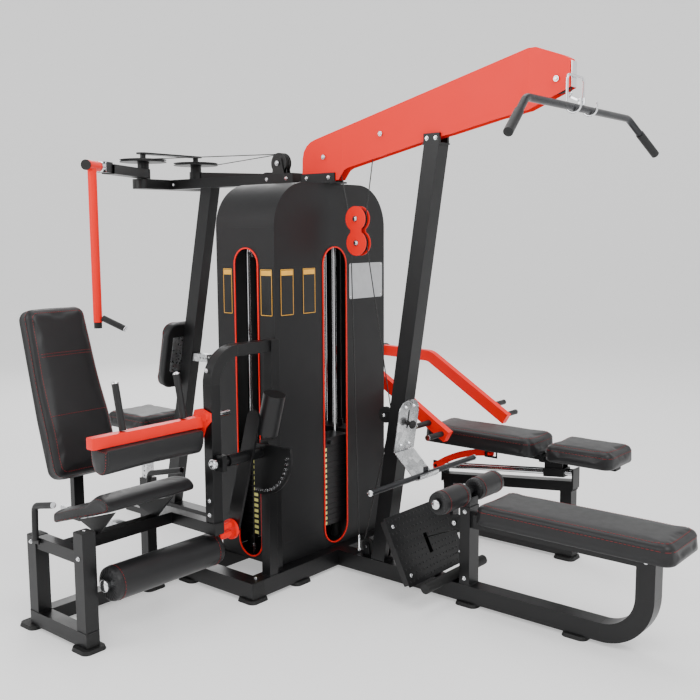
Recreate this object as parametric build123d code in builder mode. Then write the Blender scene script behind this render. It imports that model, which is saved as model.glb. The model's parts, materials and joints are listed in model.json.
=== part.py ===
"""Multi gym with four stations round one weight tower.

Millimetres, +Z up. The origin is the centre of the tower on the floor.
+X points out along the pulldown and low-row station, -Y along the leg
station, -X along the fly station, and the press bench stands on the +Y side.
"""
import os
from math import asin, atan2, cos, degrees, hypot, pi, radians, sin, tan

from build123d import *

# ---------------------------------------------------------------- dimensions
FLOOR_PAD = 15            # rubber foot height
BEAM = 75                 # main square base tube
BEAM_Z = FLOOR_PAD + BEAM / 2
BEAM_TOP = FLOOR_PAD + BEAM
SMALL = 60                # square tube of the lighter frames
SMALL_Z = FLOOR_PAD + SMALL / 2
SMALL_TOP = FLOOR_PAD + SMALL
WALL = 3                  # tube wall
FIT = 0.05                # radial clearance of a turning fit
GAP = 0.5                 # clearance between neighbours that don't touch

# tower
SHROUD_X = 185            # half depth, outer face
SHROUD_Y = 390            # half width, outer face
SHROUD_LOW = 98
SHROUD_TOP = 1822
SHROUD_R = 200            # rounded shoulder
SHEET = 3
SLOT_LOW = 112
SLOT_TOP = 1528
SLOT_W = 160
SLOT_OFF = 10
SIDE_SLOT_W = 142
PLATE_Z = BEAM_TOP        # steel floor of the tower
PLATE_T = 8
STACK_LOW = 186           # underside of the lowest weight plate
STACK_PITCH = 26
STACK_COUNT = 15
STACK_TOP = STACK_LOW + STACK_PITCH * STACK_COUNT
ROD_R = 10
STACK_X = 95              # fly and pulldown stacks, off centre along X
STACK_Y = 270             # leg and press stacks, off centre along Y
RAIL_Z = 1600             # underside of the tower's top rails
RAIL = 40

# boom
BOOM_Y = 25               # half width
BOOM_T = 3
BOOM_SHEAVE_R = 48
BOOM_REAR_R = 62.5
BOOM_REAR = (157, 1943)
BOOM_MID = (489, 2025)
BOOM_TIP = (1331, 2170)

# pulldown and low-row station
STRUT_X = 475             # strut centre where it meets the base tube
STRUT_LEAN = 0.155        # strut lean, X per Z
LAT_BAR_X = 1424
LAT_BAR_Z = 2062
END_POST_X = 1747
LAT_POST_X = 950
ROLLER_X = 940
ROLLER_Z = 492

# leg station
LEG_X0 = -270             # rear post and base tube
LEG_X1 = 57               # front post
LEG_POST_TOP = 470
LEG_Y0 = -1315            # outer end
LEG_MID_Y = -760
KNEE = (215, 655)         # lever pivot, XZ
ARCH_X = 175
ARCH_Y0 = -760
THIGH = (175, 850)        # hold-down pivot, XZ
ANKLE = (120, 258)        # ankle roller axis, XZ
HUB = (120, 317)          # lower end of the lever, XZ

# fly station
FLY_X = -970              # arm pivots
FLY_Y = 180
FLY_Z = 1830              # underside of the overhead beam
FLY_REACH = 563
FLY_OPEN = 62.5           # rest angle of an arm, measured back from +X
FLY_POST_X = -1250
SPIGOT_R = 16             # axle on which a hanging handle swings
SLEEVE_R = 24
HANG_R = 21

# press station
PRESS_Y = 785             # bench centre line
PRESS_PIVOT = (-360, 905)
PRESS_ARMS = (500, 1070)
RAIL_LEAN = 6.2           # slope of the carriage rails, degrees

os.makedirs("parts", exist_ok=True)


# ------------------------------------------------------------------- helpers
def save(label, solids):
    """Write one node made of separate pieces that touch but aren't fused."""
    pieces = []
    for item in solids:
        pieces.extend(item.solids())
    node = Compound(pieces)
    node.label = label
    export_step(node, f"parts/{label}.step")
    return node


def tube(start, end, wide, deep, side=(0, 1, 0), wall=WALL, cut=None):
    """Rectangular tube; `wide` lies along `side`, `cut` is the end-face normal."""
    axis = Vector(end) - Vector(start)
    normal = Vector(cut) if cut else axis.normalized()
    slant = abs(axis.normalized().dot(normal.normalized()))
    with BuildPart() as made:
        with BuildSketch(Plane(origin=start, x_dir=side, z_dir=normal)):
            Rectangle(wide, deep / slant)
            if wall:
                Rectangle(wide - 2 * wall, (deep - 2 * wall) / slant, mode=Mode.SUBTRACT)
        extrude(amount=axis.length, dir=axis.normalized())
    return made.part


def bent_tube(points, radius, wide, deep, side=(0, 1, 0), wall=WALL):
    """Straight and bent lengths of one tube; `side` is normal to the bend plane."""
    pts = [Vector(p) for p in points]
    normal = Vector(side)
    lengths = []
    start = pts[0]
    for before, corner, after in zip(pts, pts[1:], pts[2:]):
        into = (corner - before).normalized()
        out = (after - corner).normalized()
        turn = into.get_angle(out)
        reach = radius * tan(radians(turn) / 2)
        bend_in = corner - into * reach
        bend_out = corner + out * reach
        lengths.append(tube(start, bend_in, wide, deep, side, wall))
        hand = 1 if into.cross(out).dot(normal) > 0 else -1
        inward = normal.cross(into) * hand
        centre = bend_in + inward * radius
        with BuildPart() as bend:
            with BuildSketch(Plane(origin=bend_in, x_dir=side, z_dir=into)):
                Rectangle(wide, deep)
                if wall:
                    Rectangle(wide - 2 * wall, deep - 2 * wall, mode=Mode.SUBTRACT)
            revolve(axis=Axis(centre, normal * hand), revolution_arc=turn)
        lengths.append(bend.part)
        start = bend_out
    lengths.append(tube(start, pts[-1], wide, deep, side, wall))
    return lengths


def rod(start, end, radius, bore=0.0):
    """Round bar or tube between two points."""
    axis = Vector(end) - Vector(start)
    with BuildPart() as made:
        with BuildSketch(Plane(origin=start, z_dir=axis.normalized())):
            Circle(radius)
            if bore:
                Circle(bore, mode=Mode.SUBTRACT)
        extrude(amount=axis.length)
    return made.part


def bent_rod(points, bend_radius, radius):
    """Round bar bent in one plane, with tangent arcs."""
    with BuildPart() as made:
        with BuildLine() as path:
            FilletPolyline(*points, radius=bend_radius)
        with BuildSketch(Plane(origin=path.line @ 0, z_dir=path.line % 0)):
            Circle(radius)
        sweep()
    return made.part


def block(x, y, z):
    """Plain block from its three (low, high) spans."""
    with BuildPart() as made:
        with BuildSketch(Plane.XY.offset(z[0])):
            with Locations(((x[0] + x[1]) / 2, (y[0] + y[1]) / 2)):
                Rectangle(x[1] - x[0], y[1] - y[0])
        extrude(amount=z[1] - z[0])
    return made.part


def bolt_head(place, direction, radius=9, height=6):
    """Domed bolt head with its washer, seated at `place`."""
    with BuildPart() as made:
        with BuildSketch(Plane(origin=place, z_dir=direction)):
            Circle(radius)
        extrude(amount=1.5)
        with BuildSketch(Plane(origin=place, z_dir=direction).offset(1.5)):
            Circle(radius * 0.72)
        extrude(amount=height)
        fillet(made.faces().sort_by(Axis(place, direction))[-1].edges(), radius * 0.3)
    return made.part


def sheave(centre, radius, width=16, bore=8.0):
    """Grooved pulley wheel turning about a line along Y."""
    x, y, z = centre
    half = width / 2
    with BuildPart() as made:
        with BuildSketch(Plane(origin=(x, y, z), x_dir=(1, 0, 0), z_dir=(0, 0, 1))):
            with BuildLine():
                Polyline((bore, -half), (radius + 5, -half), (radius + 5, -half + 2.5),
                         (radius - 3, -2.5), (radius - 3, 2.5), (radius + 5, half - 2.5),
                         (radius + 5, half), (bore, half), close=True)
            make_face()
        revolve(axis=Axis((x, y, z), (0, 1, 0)), revolution_arc=360)
    return made.part


def groove(radius, thick=2.5):
    """Centre-line radius of a cable lying in a sheave's groove."""
    return radius - 3 + thick + 0.1


def cushion(x, y, z, corner):
    """Plain closed pad with every edge rounded."""
    with BuildPart() as made:
        add(block(x, y, z))
        fillet(made.edges(), corner)
    return made.part


def bored(solid, place, direction, radius, length):
    """Drill one hole from `place` along `direction`."""
    with BuildPart() as made:
        add(solid)
        with BuildSketch(Plane(origin=place, z_dir=direction)):
            Circle(radius)
        extrude(amount=length, mode=Mode.SUBTRACT)
    return made.part


def cut_box(solid, x, y, z):
    """Take a box-shaped bite out of a solid."""
    with BuildPart() as made:
        add(solid)
        add(block(x, y, z), mode=Mode.SUBTRACT)
    return made.part


def kept_box(solid, x, y, z):
    """Keep only what lies inside a box."""
    with BuildPart() as made:
        add(solid)
        add(block(x, y, z), mode=Mode.INTERSECT)
    return made.part


def xz_plate(points, y0, y1, holes=()):
    """Flat plate cut to an XZ outline, from y0 to y1, with (x, z, r) holes."""
    with BuildPart() as made:
        with BuildSketch(Plane(origin=(0, y0, 0), x_dir=(1, 0, 0), z_dir=(0, -1, 0))):
            with BuildLine():
                Polyline(*points, close=True)
            make_face()
            for hx, hz, hr in holes:
                with Locations((hx, hz)):
                    Circle(hr, mode=Mode.SUBTRACT)
        extrude(amount=-(y1 - y0))
    return made.part


# --------------------------------------------------------------------- tower
def tower_frame():
    """Base beams, floor plate, corner posts, spine and top rails."""
    end = 570
    reach = SHROUD_X + 15 + BEAM / 2
    inner = 200 - BEAM / 2
    side = end - BEAM / 2
    parts = [tube((-307.5, -end, BEAM_Z), (reach, -end, BEAM_Z), BEAM, BEAM)]
    parts.append(tube((-reach, end, BEAM_Z), (reach, end, BEAM_Z), BEAM, BEAM))
    for x in (-200, 200):
        parts.append(tube((x, -side, BEAM_Z), (x, side, BEAM_Z), BEAM, BEAM, (1, 0, 0)))
    parts.append(tube((-inner, 0, BEAM_Z), (inner, 0, BEAM_Z), BEAM, BEAM))
    low = PLATE_Z + PLATE_T
    edge = SHROUD_X - SHEET - 1
    parts.append(block((-edge, edge), (-386, 386), (PLATE_Z, low)))
    parts.append(tube((0, 0, low), (0, 0, SHROUD_TOP - SHEET), SMALL, SMALL))
    for x in (-155, 155):
        for y in (-363, 363):
            parts.append(tube((x, y, low), (x, y, RAIL_Z), RAIL, RAIL))
    rail = RAIL_Z + RAIL / 2
    for x in (-155, 155):
        parts.append(tube((x, -383, rail), (x, 383, rail), RAIL, RAIL, (1, 0, 0)))
    for y in (-STACK_Y, STACK_Y):
        parts.append(tube((-135, y, rail), (135, y, rail), RAIL, RAIL))
    for x in (-STACK_X, STACK_X):
        carrier = tube((x, -250, rail), (x, 250, rail), RAIL, RAIL, (1, 0, 0))
        parts.append(cut_box(carrier, (x - 14, x + 14), (-24, 24), (RAIL_Z - 10, RAIL_Z + 60)))
    for x in (-1, 1):
        parts.append(tube((x * 30, 0, rail), (x * 75, 0, rail), RAIL, RAIL))
    return parts


def foot(x, y, long_x=90, long_y=90):
    """Moulded rubber foot, wider at the floor."""
    with BuildPart() as made:
        with BuildSketch(Plane.XY):
            with Locations((x, y)):
                RectangleRounded(long_x + 20, long_y + 20, 28)
        extrude(amount=FLOOR_PAD, taper=20)
    return made.part


FEET = [(-200, -570), (200, -570), (-200, 570), (200, 570), (200, -290), (0, 0),
        (960, 0), (1465, 0), (LEG_X0 - 40, LEG_Y0), (LEG_X1, LEG_Y0),
        (LEG_X0, LEG_MID_Y), (-1080, 0), (-1330, 0), (337, PRESS_Y), (1020, PRESS_Y),
        (-360, 440)]
save("rubber_feet", [foot(x, y) for x, y in FEET])


def panel_outline():
    """YZ outline of an end panel with two rounded shoulders."""
    with BuildSketch() as made:
        with BuildLine():
            Line((-SHROUD_Y, SHROUD_LOW), (SHROUD_Y, SHROUD_LOW))
            Line((SHROUD_Y, SHROUD_LOW), (SHROUD_Y, SHROUD_TOP - SHROUD_R))
            RadiusArc((SHROUD_Y, SHROUD_TOP - SHROUD_R), (SHROUD_Y - SHROUD_R, SHROUD_TOP),
                      -SHROUD_R)
            Line((SHROUD_Y - SHROUD_R, SHROUD_TOP), (SHROUD_R - SHROUD_Y, SHROUD_TOP))
            RadiusArc((SHROUD_R - SHROUD_Y, SHROUD_TOP), (-SHROUD_Y, SHROUD_TOP - SHROUD_R),
                      -SHROUD_R)
            Line((-SHROUD_Y, SHROUD_TOP - SHROUD_R), (-SHROUD_Y, SHROUD_LOW))
        make_face()
    return made.sketch


def slot_outline(centre, wide, grow=0.0):
    """Tall slot with round ends."""
    tall = SLOT_TOP - SLOT_LOW
    with BuildSketch() as made:
        with Locations((centre, (SLOT_LOW + SLOT_TOP) / 2)):
            SlotOverall(tall + 2 * grow, wide + 2 * grow, rotation=90)
    return made.sketch


def end_panel(face, centre):
    """One flat tower panel, cut in four round its slot; face is +1 or -1 in X."""
    plane = Plane(origin=((SHROUD_X - SHEET) * face, 0, 0), x_dir=(0, face, 0), z_dir=(face, 0, 0))
    with BuildPart() as made:
        with BuildSketch(plane):
            add(panel_outline())
            add(slot_outline(centre, SLOT_W), mode=Mode.SUBTRACT)
        extrude(amount=SHEET)
    whole = made.part
    bend = SLOT_W / 2
    near, far = (centre * face - bend, centre * face + bend)
    wide = (-400, 400)
    deep = (-200, 200)
    return [kept_box(whole, deep, wide, (90, SLOT_LOW + bend)),
            kept_box(whole, deep, wide, (SLOT_TOP - bend, 1830)),
            kept_box(whole, deep, (-400, near + 1), (SLOT_LOW + bend, SLOT_TOP - bend)),
            kept_box(whole, deep, (far - 1, 400), (SLOT_LOW + bend, SLOT_TOP - bend))]


save("shroud_front_panel", end_panel(1, SLOT_OFF))
save("shroud_rear_panel", end_panel(-1, SLOT_OFF))


def side_wrap(face):
    """Side wall with its slot, rolled over into the roof; face is +1 or -1 in Y."""
    inner = SHROUD_X - SHEET
    y0 = (SHROUD_Y - SHEET) * face
    centre = 9
    plane = Plane(origin=(0, y0, 0), x_dir=(-face, 0, 0), z_dir=(0, face, 0))
    bend_z = SHROUD_TOP - SHROUD_R
    with BuildPart() as wall:
        with BuildSketch(plane):
            with Locations((0, (SHROUD_LOW + bend_z) / 2)):
                Rectangle(2 * inner, bend_z - SHROUD_LOW)
            add(slot_outline(-centre * face, SIDE_SLOT_W), mode=Mode.SUBTRACT)
        extrude(amount=SHEET)
    whole = wall.part
    half = SIDE_SLOT_W / 2
    all_y = (-400, 400)
    lower = SLOT_LOW + half
    upper = SLOT_TOP - half
    pieces = [kept_box(whole, (-200, 200), all_y, (90, lower)),
              kept_box(whole, (-200, 200), all_y, (upper, 1830)),
              kept_box(whole, (-200, centre - half + 1), all_y, (lower, upper)),
              kept_box(whole, (centre + half - 1, 200), all_y, (lower, upper))]
    axis_y = (SHROUD_Y - SHROUD_R) * face
    with BuildPart() as roll:
        with BuildSketch(Plane.XY.offset(bend_z)):
            with Locations((0, (SHROUD_Y - SHEET / 2) * face)):
                Rectangle(2 * inner, SHEET)
        revolve(axis=Axis((0, axis_y, bend_z), (1, 0, 0)), revolution_arc=90 * face)
    pieces.append(roll.part)
    return pieces


ROOF_Y = SHROUD_Y - SHROUD_R
CABLE_HOLES = (-STACK_X, STACK_X)   # where the two overhead cables drop through the roof


def with_cable_holes(solid):
    """Cut the two rectangular cable holes through a roof sheet."""
    for x in CABLE_HOLES:
        solid = cut_box(solid, (x - 14, x + 14), (-24, 24), (1800, 1900))
    return solid


ROOF_SHEET = block((-182, 182), (-ROOF_Y, ROOF_Y), (SHROUD_TOP - SHEET, SHROUD_TOP))


def roof_mount():
    """Plate bolted on the roof, with the two cheeks that hold the boom."""
    plate = with_cable_holes(block((-180, 228), (-55, 55), (SHROUD_TOP, FLY_Z)))
    return [plate, block((20, 226), (-BOOM_Y - 8, -BOOM_Y - GAP), (FLY_Z, FLY_Z + 40)),
            block((20, 226), (BOOM_Y + GAP, BOOM_Y + 8), (FLY_Z, FLY_Z + 40))]


save("tower_base_frame", tower_frame() + roof_mount())
save("shroud_wrap", side_wrap(-1) + side_wrap(1) + [with_cable_holes(ROOF_SHEET)])


def slot_trim(plane, centre, wide):
    """Red edging clipped round a slot."""
    with BuildPart() as made:
        with BuildSketch(plane):
            add(slot_outline(centre, wide, 6))
            add(slot_outline(centre, wide), mode=Mode.SUBTRACT)
        extrude(amount=4)
    return made.part


TRIMS = [slot_trim(Plane(origin=(f * SHROUD_X, 0, 0), x_dir=(0, f, 0), z_dir=(f, 0, 0)),
                   SLOT_OFF, SLOT_W) for f in (1, -1)]
TRIMS += [slot_trim(Plane(origin=(0, f * SHROUD_Y, 0), x_dir=(-f, 0, 0), z_dir=(0, f, 0)),
                    -9 * f, SIDE_SLOT_W) for f in (1, -1)]
save("slot_trims", TRIMS)


def rounded_plate(plane, y, z, corner=10, thick=1.5):
    """Thin blank plate with rounded corners on a wall."""
    with BuildPart() as made:
        with BuildSketch(plane):
            with Locations(((y[0] + y[1]) / 2, (z[0] + z[1]) / 2)):
                RectangleRounded(y[1] - y[0], z[1] - z[0], corner)
        extrude(amount=thick)
    return made.part


FRONT = Plane(origin=(SHROUD_X, 0, 0), x_dir=(0, 1, 0), z_dir=(1, 0, 0))
LEFT = Plane(origin=(0, -SHROUD_Y, 0), x_dir=(1, 0, 0), z_dir=(0, -1, 0))
save("blank_labels", [rounded_plate(FRONT, (118, 372), (1281, 1451)),
                      rounded_plate(LEFT, (-142, -82), (1232, 1440), 4),
                      rounded_plate(LEFT, (98, 172), (1232, 1440), 4),
                      rounded_plate(FRONT, (-355, -270), (1232, 1440), 4),
                      rounded_plate(FRONT, (-210, -125), (1232, 1440), 4)])


# ------------------------------------------------------------- weight stacks
STACKS = {"lat": (STACK_X, 0, 1), "pec": (-STACK_X, 0, -1),
          "leg": (0, -STACK_Y, 0), "press": (0, STACK_Y, 0)}
PLATE_LONG = 300
PLATE_DEEP = 110
LEG_LONG = 280


def stack_rods(name):
    """Plan positions of a stack's two guide rods."""
    x, y, along_x = STACKS[name]
    if along_x:
        return [(x, -110), (x, 110)]
    return [(-105, y), (105, y)]


def weight_plate(name, z0, z1, hole, mid):
    """One weight plate or head, drilled for the rods and the selector."""
    x, y, along_x = STACKS[name]
    wide = (PLATE_DEEP, PLATE_LONG) if along_x else (LEG_LONG, PLATE_DEEP)
    with BuildPart() as made:
        with BuildSketch(Plane.XY.offset(z0)):
            with Locations((x, y)):
                Rectangle(*wide)
            with Locations(*stack_rods(name)):
                Circle(hole, mode=Mode.SUBTRACT)
            if mid:
                with Locations((x, y)):
                    Circle(mid, mode=Mode.SUBTRACT)
        extrude(amount=z1 - z0)
    return made.part


def resting_plates(name):
    """The plates that stay down when the lightest weight is picked."""
    return [weight_plate(name, STACK_LOW + i * STACK_PITCH,
                         STACK_LOW + (i + 1) * STACK_PITCH - 1, ROD_R + 1, 13)
            for i in range(STACK_COUNT)]


def stack_head(name):
    """Moving head: top plate, selector rod, cable eye and selector pin."""
    x, y, along_x = STACKS[name]
    low = STACK_TOP + GAP
    solids = [weight_plate(name, low, low + 40, ROD_R + FIT, 0)]
    solids.append(rod((x, y, low), (x, y, STACK_LOW + 4), ROD_R))
    solids.append(rod((x, y, low + 40), (x, y, low + 75), 9))
    if along_x:
        face = x + along_x * PLATE_DEEP / 2
        solids.append(rod((face, 0, low + 20), (face + along_x * 22, 0, low + 20), 11))
    else:
        way = 1 if y > 0 else -1
        face = y + way * PLATE_DEEP / 2
        solids.append(rod((9, face, low + 20), (9, face + way * 22, low + 20), 11))
    return solids


ROD_LOW = PLATE_Z + PLATE_T
save("guide_rods", [rod((x, y, ROD_LOW), (x, y, RAIL_Z), ROD_R)
                    for name in STACKS for x, y in stack_rods(name)]
     + [rod((x, y, ROD_LOW), (x, y, STACK_LOW), 24, ROD_R + 0.2)
        for name in STACKS for x, y in stack_rods(name)])
save("weight_plates", [plate for name in STACKS for plate in resting_plates(name)])
for STACK in STACKS:
    save(f"{STACK}_stack_head", stack_head(STACK))


# ---------------------------------------------------------------------- boom
BOOM_CREST = [(20, 1836), (23, 1940), (31, 1973), (49, 1998), (75, 2016), (105, 2026), (1205, 2298),
              (1240, 2298), (1354, 2255), (1378, 2241), (1385, 2225)]
BOOM_OUTLINE = BOOM_CREST + [(1387, 2135), (1208, 2065), (1076, 2044), (850, 1999), (719, 1978),
                             (296, 1887), (275, 1877), (243, 1836)]


def boom_side(y0, y1):
    """One red side plate of the boom."""
    holes = [(*BOOM_REAR, 8.0), (*BOOM_MID, 8.0), (*BOOM_TIP, 8.0)]
    whole = xz_plate(BOOM_OUTLINE, y0, y1, holes)
    return [kept_box(whole, (0, 270), (-40, 40), (1800, 2400)),
            kept_box(whole, (270, 1208), (-40, 40), (1800, 2400)),
            kept_box(whole, (1208, 1400), (-40, 40), (1800, 2400))]


def boom_cover():
    """Folded cover strip between the side plates."""
    width = 2 * (BOOM_Y - BOOM_T)
    strips = []
    for (x0, z0), (x1, z1) in zip(BOOM_CREST, BOOM_CREST[1:]):
        run = hypot(x1 - x0, z1 - z0)
        nx, nz = (z1 - z0) / run, -(x1 - x0) / run
        half = BOOM_T / 2
        trim = 1.6
        ux, uz = (x1 - x0) / run, (z1 - z0) / run
        start = (x0 + nx * half + ux * trim, 0, z0 + nz * half + uz * trim)
        stop = (x1 + nx * half - ux * trim, 0, z1 + nz * half - uz * trim)
        strips.append(tube(start, stop, width, BOOM_T, wall=0))
    return strips


save("boom_shell", boom_side(-BOOM_Y, -BOOM_Y + BOOM_T)
     + boom_side(BOOM_Y - BOOM_T, BOOM_Y) + boom_cover())
AXLE_Y = BOOM_Y + 6
BOOM_PINS = (BOOM_REAR, BOOM_MID, BOOM_TIP)
BOOM_SHEAVES = list(zip(BOOM_PINS, (BOOM_REAR_R, BOOM_SHEAVE_R, BOOM_SHEAVE_R)))
save("boom_pulleys", [sheave((x, 0, z), r, bore=8.0) for (x, z), r in BOOM_SHEAVES]
     + [rod((x, -AXLE_Y, z), (x, AXLE_Y, z), 7.95) for x, z in BOOM_PINS]
     + [bolt_head((x, s * AXLE_Y, z), (0, s, 0), 11, 5) for x, z in BOOM_PINS for s in (-1, 1)])


TIP_DROP = BOOM_TIP[0] + groove(BOOM_SHEAVE_R)


def hook_bracket():
    """Two J hooks on one bent rod, for parking the pulldown bar."""
    x, top, low = 1396, 2176, LAT_BAR_Z
    y, r = 68, 5
    solids = [bent_rod([(x, -y, low), (x, -y, top), (x, y, top), (x, y, low)], 18, r)]
    hook = LAT_BAR_X - x
    for s in (-1, 1):
        with BuildPart() as curl:
            with BuildSketch(Plane(origin=(x, s * y, low), z_dir=(0, 0, -1))):
                Circle(r)
            revolve(axis=Axis((x + hook, s * y, low), (0, 1, 0)), revolution_arc=-180)
        solids.append(curl.part)
        tip = x + 2 * hook
        solids.append(rod((tip, s * y, low), (tip, s * y, low + 22), r))
    return solids


END_PLATE = block((1387, 1390), (-20, 20), (2136, 2232))
save("bar_hooks", hook_bracket() + [END_PLATE])


# -------------------------------------------------- pulldown bar and station
BAR_Z = LAT_BAR_Z - (LAT_BAR_X - 1396) + 5 + 14 + 0.3


EYE_UP = 27
EYE_R = 7


def bar_link():
    """Long chrome link between the bar's eye and the cable's end."""
    low = Vector(LAT_BAR_X, 0, BAR_Z + EYE_UP)
    high = Vector(TIP_DROP, 0, 2102)
    up = (high - low).normalized()
    long = (high - low).length
    plane = Plane(origin=(low + high) * 0.5, x_dir=up, z_dir=up.cross(Vector(0, 1, 0)))
    with BuildPart() as made:
        with BuildSketch(plane):
            SlotOverall(long + 10, 34)
            SlotOverall(long - 10, 14, mode=Mode.SUBTRACT)
        extrude(amount=4, both=True)
    return [made.part]


def lat_bar():
    """Wide pulldown bar with both ends bent down, and its welded eye."""
    x, z = LAT_BAR_X, BAR_Z
    drop, spread, out = 133, 188, 42
    ends = [(x + out, s * (420 + spread), z - drop) for s in (-1, 1)]
    mids = [(x, s * 420, z) for s in (-1, 1)]
    bar = bent_rod([ends[0], mids[0], mids[1], ends[1]], 60, 14)
    eye = block((x - 12, x + 12), (-4, 4), (z + 13.5, z + 39))
    return [bar, bored(eye, (x, -10, z + EYE_UP), (0, 1, 0), EYE_R, 20)] + bar_link()


def bar_grips():
    """Rubber grips over the bent ends."""
    x, z = LAT_BAR_X, BAR_Z
    solids = []
    for s in (-1, 1):
        near = Vector(x + 42 * 0.42, s * (420 + 188 * 0.42), z - 133 * 0.42)
        far = Vector(x + 42 * 1.0, s * (420 + 188 * 1.0), z - 133 * 1.0)
        along = (far - near).normalized()
        solids.append(rod(near, far, 17, 14.05))
        solids.append(rod(far, far + along * 3, 17))
    return solids


save("lat_bar", lat_bar() + bar_grips())


def strut_x(z):
    """Centre of the leaning strut at a height."""
    return STRUT_X + STRUT_LEAN * (z - BEAM_TOP)


def lat_strut():
    """Leaning strut, with cable windows, cap and ears that clasp the boom."""
    top = 1962
    body = tube((STRUT_X, 0, BEAM_TOP), (strut_x(top), 0, top), BEAM, BEAM, cut=(0, 0, 1))
    body = cut_box(body, (400, 620), (-8, 8), (112, 190))
    mid = strut_x(top)
    solids = [body, block((mid - 45, mid + 45), (-37.5, 37.5), (top, top + 6))]
    for s in (-1, 1):
        y = sorted((s * (BOOM_Y + GAP), s * 37.5))
        solids.append(block((mid - 40, mid + 40), y, (top + 6, top + 46)))
    return solids


save("lat_strut", lat_strut())


def lat_frame():
    """Base tube swept up into the end post, front post socket and seat rail."""
    seat_top = 405
    solids = bent_tube([(237.5, 0, BEAM_Z), (END_POST_X, 0, BEAM_Z), (END_POST_X, 0, seat_top)],
                       175, BEAM, BEAM)
    solids.append(tube((LAT_POST_X, 0, BEAM_TOP), (LAT_POST_X, 0, 437), BEAM, 50))
    solids.append(tube((LAT_POST_X + 25, 0, seat_top - 30), (END_POST_X - 37.5, 0, seat_top - 30),
                       50, SMALL))
    return solids


save("lat_station_frame", lat_frame())
save("lat_bench_pad", [cushion((1052, 1890), (-150, 150), (406, 490), 22)])


def thigh_holder():
    """Telescoping T post that carries the two thigh rollers."""
    inner = 22 - 0.2
    solids = [tube((LAT_POST_X, 0, 200), (LAT_POST_X, 0, ROLLER_Z - 16), 2 * 34.3, 2 * inner)]
    solids.append(rod((ROLLER_X, -236, ROLLER_Z), (ROLLER_X, 236, ROLLER_Z), 16, 13))
    return solids


def rollers(x, z, spans, radius, bore):
    """Foam rollers along Y on a fixed axle."""
    return [rod((x, low, z), (x, high, z), radius, bore) for low, high in spans]


save("thigh_rollers", rollers(ROLLER_X, ROLLER_Z, [(-232, -38), (38, 232)], 50, 16.3))
THIGH_CAPS = [rod((ROLLER_X, s * 236, ROLLER_Z), (ROLLER_X, s * 244, ROLLER_Z), 20) for s in (-1, 1)]
save("thigh_holder_post", thigh_holder() + THIGH_CAPS)


def pull_pin(place, direction, length=46):
    """Spring pull pin: barrel, stem and knob."""
    way = Vector(direction)
    at = Vector(place)
    return [rod(at, at + way * 18, 9, 5.05), rod(at + way * 19, at + way * length, 12)]


def foot_plate():
    """Sloping tread plate with folded flanges."""
    high, low = Vector(660, 0, 372), Vector(800, 0, 97)
    down = (low - high).normalized()
    face = Vector(-down.Z, 0, down.X)
    middle = (high + low) * 0.5
    tall = (low - high).length
    wide = 450
    plane = Plane(origin=middle - face * 4, x_dir=(0, 1, 0), z_dir=face)
    with BuildPart() as plate:
        with BuildSketch(plane):
            RectangleRounded(wide, tall, 6)
            with Locations((0, plane.to_local_coords(Vector(735, 0, 224)).Y)):
                Rectangle(26, 90, mode=Mode.SUBTRACT)
        extrude(amount=4)
    solids = [plate.part]
    for s in (-1, 1):
        side = Plane(origin=middle - face * 4 + Vector(0, s * (wide / 2 - 2), 0),
                     x_dir=(0, 1, 0), z_dir=face)
        with BuildPart() as flange:
            with BuildSketch(side):
                Rectangle(4, tall - 20)
            extrude(amount=-24)
        solids.append(flange.part)
    for s in (-1, 1):
        y = sorted((s * 24, s * 30))
        solids.append(xz_plate([(600, 90.1), (790, 90.1), (653, 359), (634, 359)], *y))
    return solids


save("foot_plate", foot_plate() + [rod((880, -225, 113), (880, 225, 113), 22.5, 19.5)]
     + [rod((880, s * 225, 113), (880, s * 229, 113), 22.5) for s in (-1, 1)])

ROW_BAR = (720, 540)


def row_holder():
    """Galvanised keeper bolted to the strut: slotted plate, leaf and curl."""
    lean = Vector(STRUT_LEAN, 0, 1).normalized()
    out = Vector(lean.Z, 0, -lean.X)
    foot_at = Vector(strut_x(626) + 38.6, 0, 626)
    plane = Plane(origin=foot_at, x_dir=(0, 1, 0), z_dir=out)
    up = plane.y_dir.dot(lean)
    with BuildPart() as plate:
        with BuildSketch(plane):
            with Locations((0, up * 118)):
                Rectangle(148, 236)
            with Locations((0, up * 145)):
                SlotOverall(86, 12, rotation=90, mode=Mode.SUBTRACT)
        extrude(amount=4)
        fillet(plate.edges().filter_by(Axis(foot_at, out)).sort_by(Axis.Z)[-2:], 60)
    cx, cz = ROW_BAR
    r_in = 19
    start = Vector(cx, 0, cz) + Vector(-0.72, 0, -0.694) * (r_in + 2)
    leaf = tube(foot_at + out * 2 + Vector(2, 0, -3), start, 140, 4, wall=0)
    with BuildPart() as curl:
        with BuildSketch(Plane(origin=start, x_dir=(0, 1, 0), z_dir=(0.694, 0, -0.72))):
            Rectangle(140, 4)
        revolve(axis=Axis((cx, 0, cz), (0, 1, 0)), revolution_arc=-150)
    return [plate.part, leaf, curl.part]


save("row_bar_holder", row_holder())


def row_bar():
    """Straight row bar with end caps and a centre eye."""
    x, z = ROW_BAR[0], ROW_BAR[1] - 6
    eye = block((x - 4, x + 4), (-14, 14), (z + 12.3, z + 34))
    return [rod((x, -392, z), (x, 392, z), 12.5),
            bored(eye, (x - 10, 0, z + 24), (1, 0, 0), 6, 20)]


ROW_Z = ROW_BAR[1] - 6
ROW_CAPS = [rod((ROW_BAR[0], s * 392, ROW_Z), (ROW_BAR[0], s * 397, ROW_Z), 13.5) for s in (-1, 1)]
save("row_bar", row_bar() + ROW_CAPS)

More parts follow.
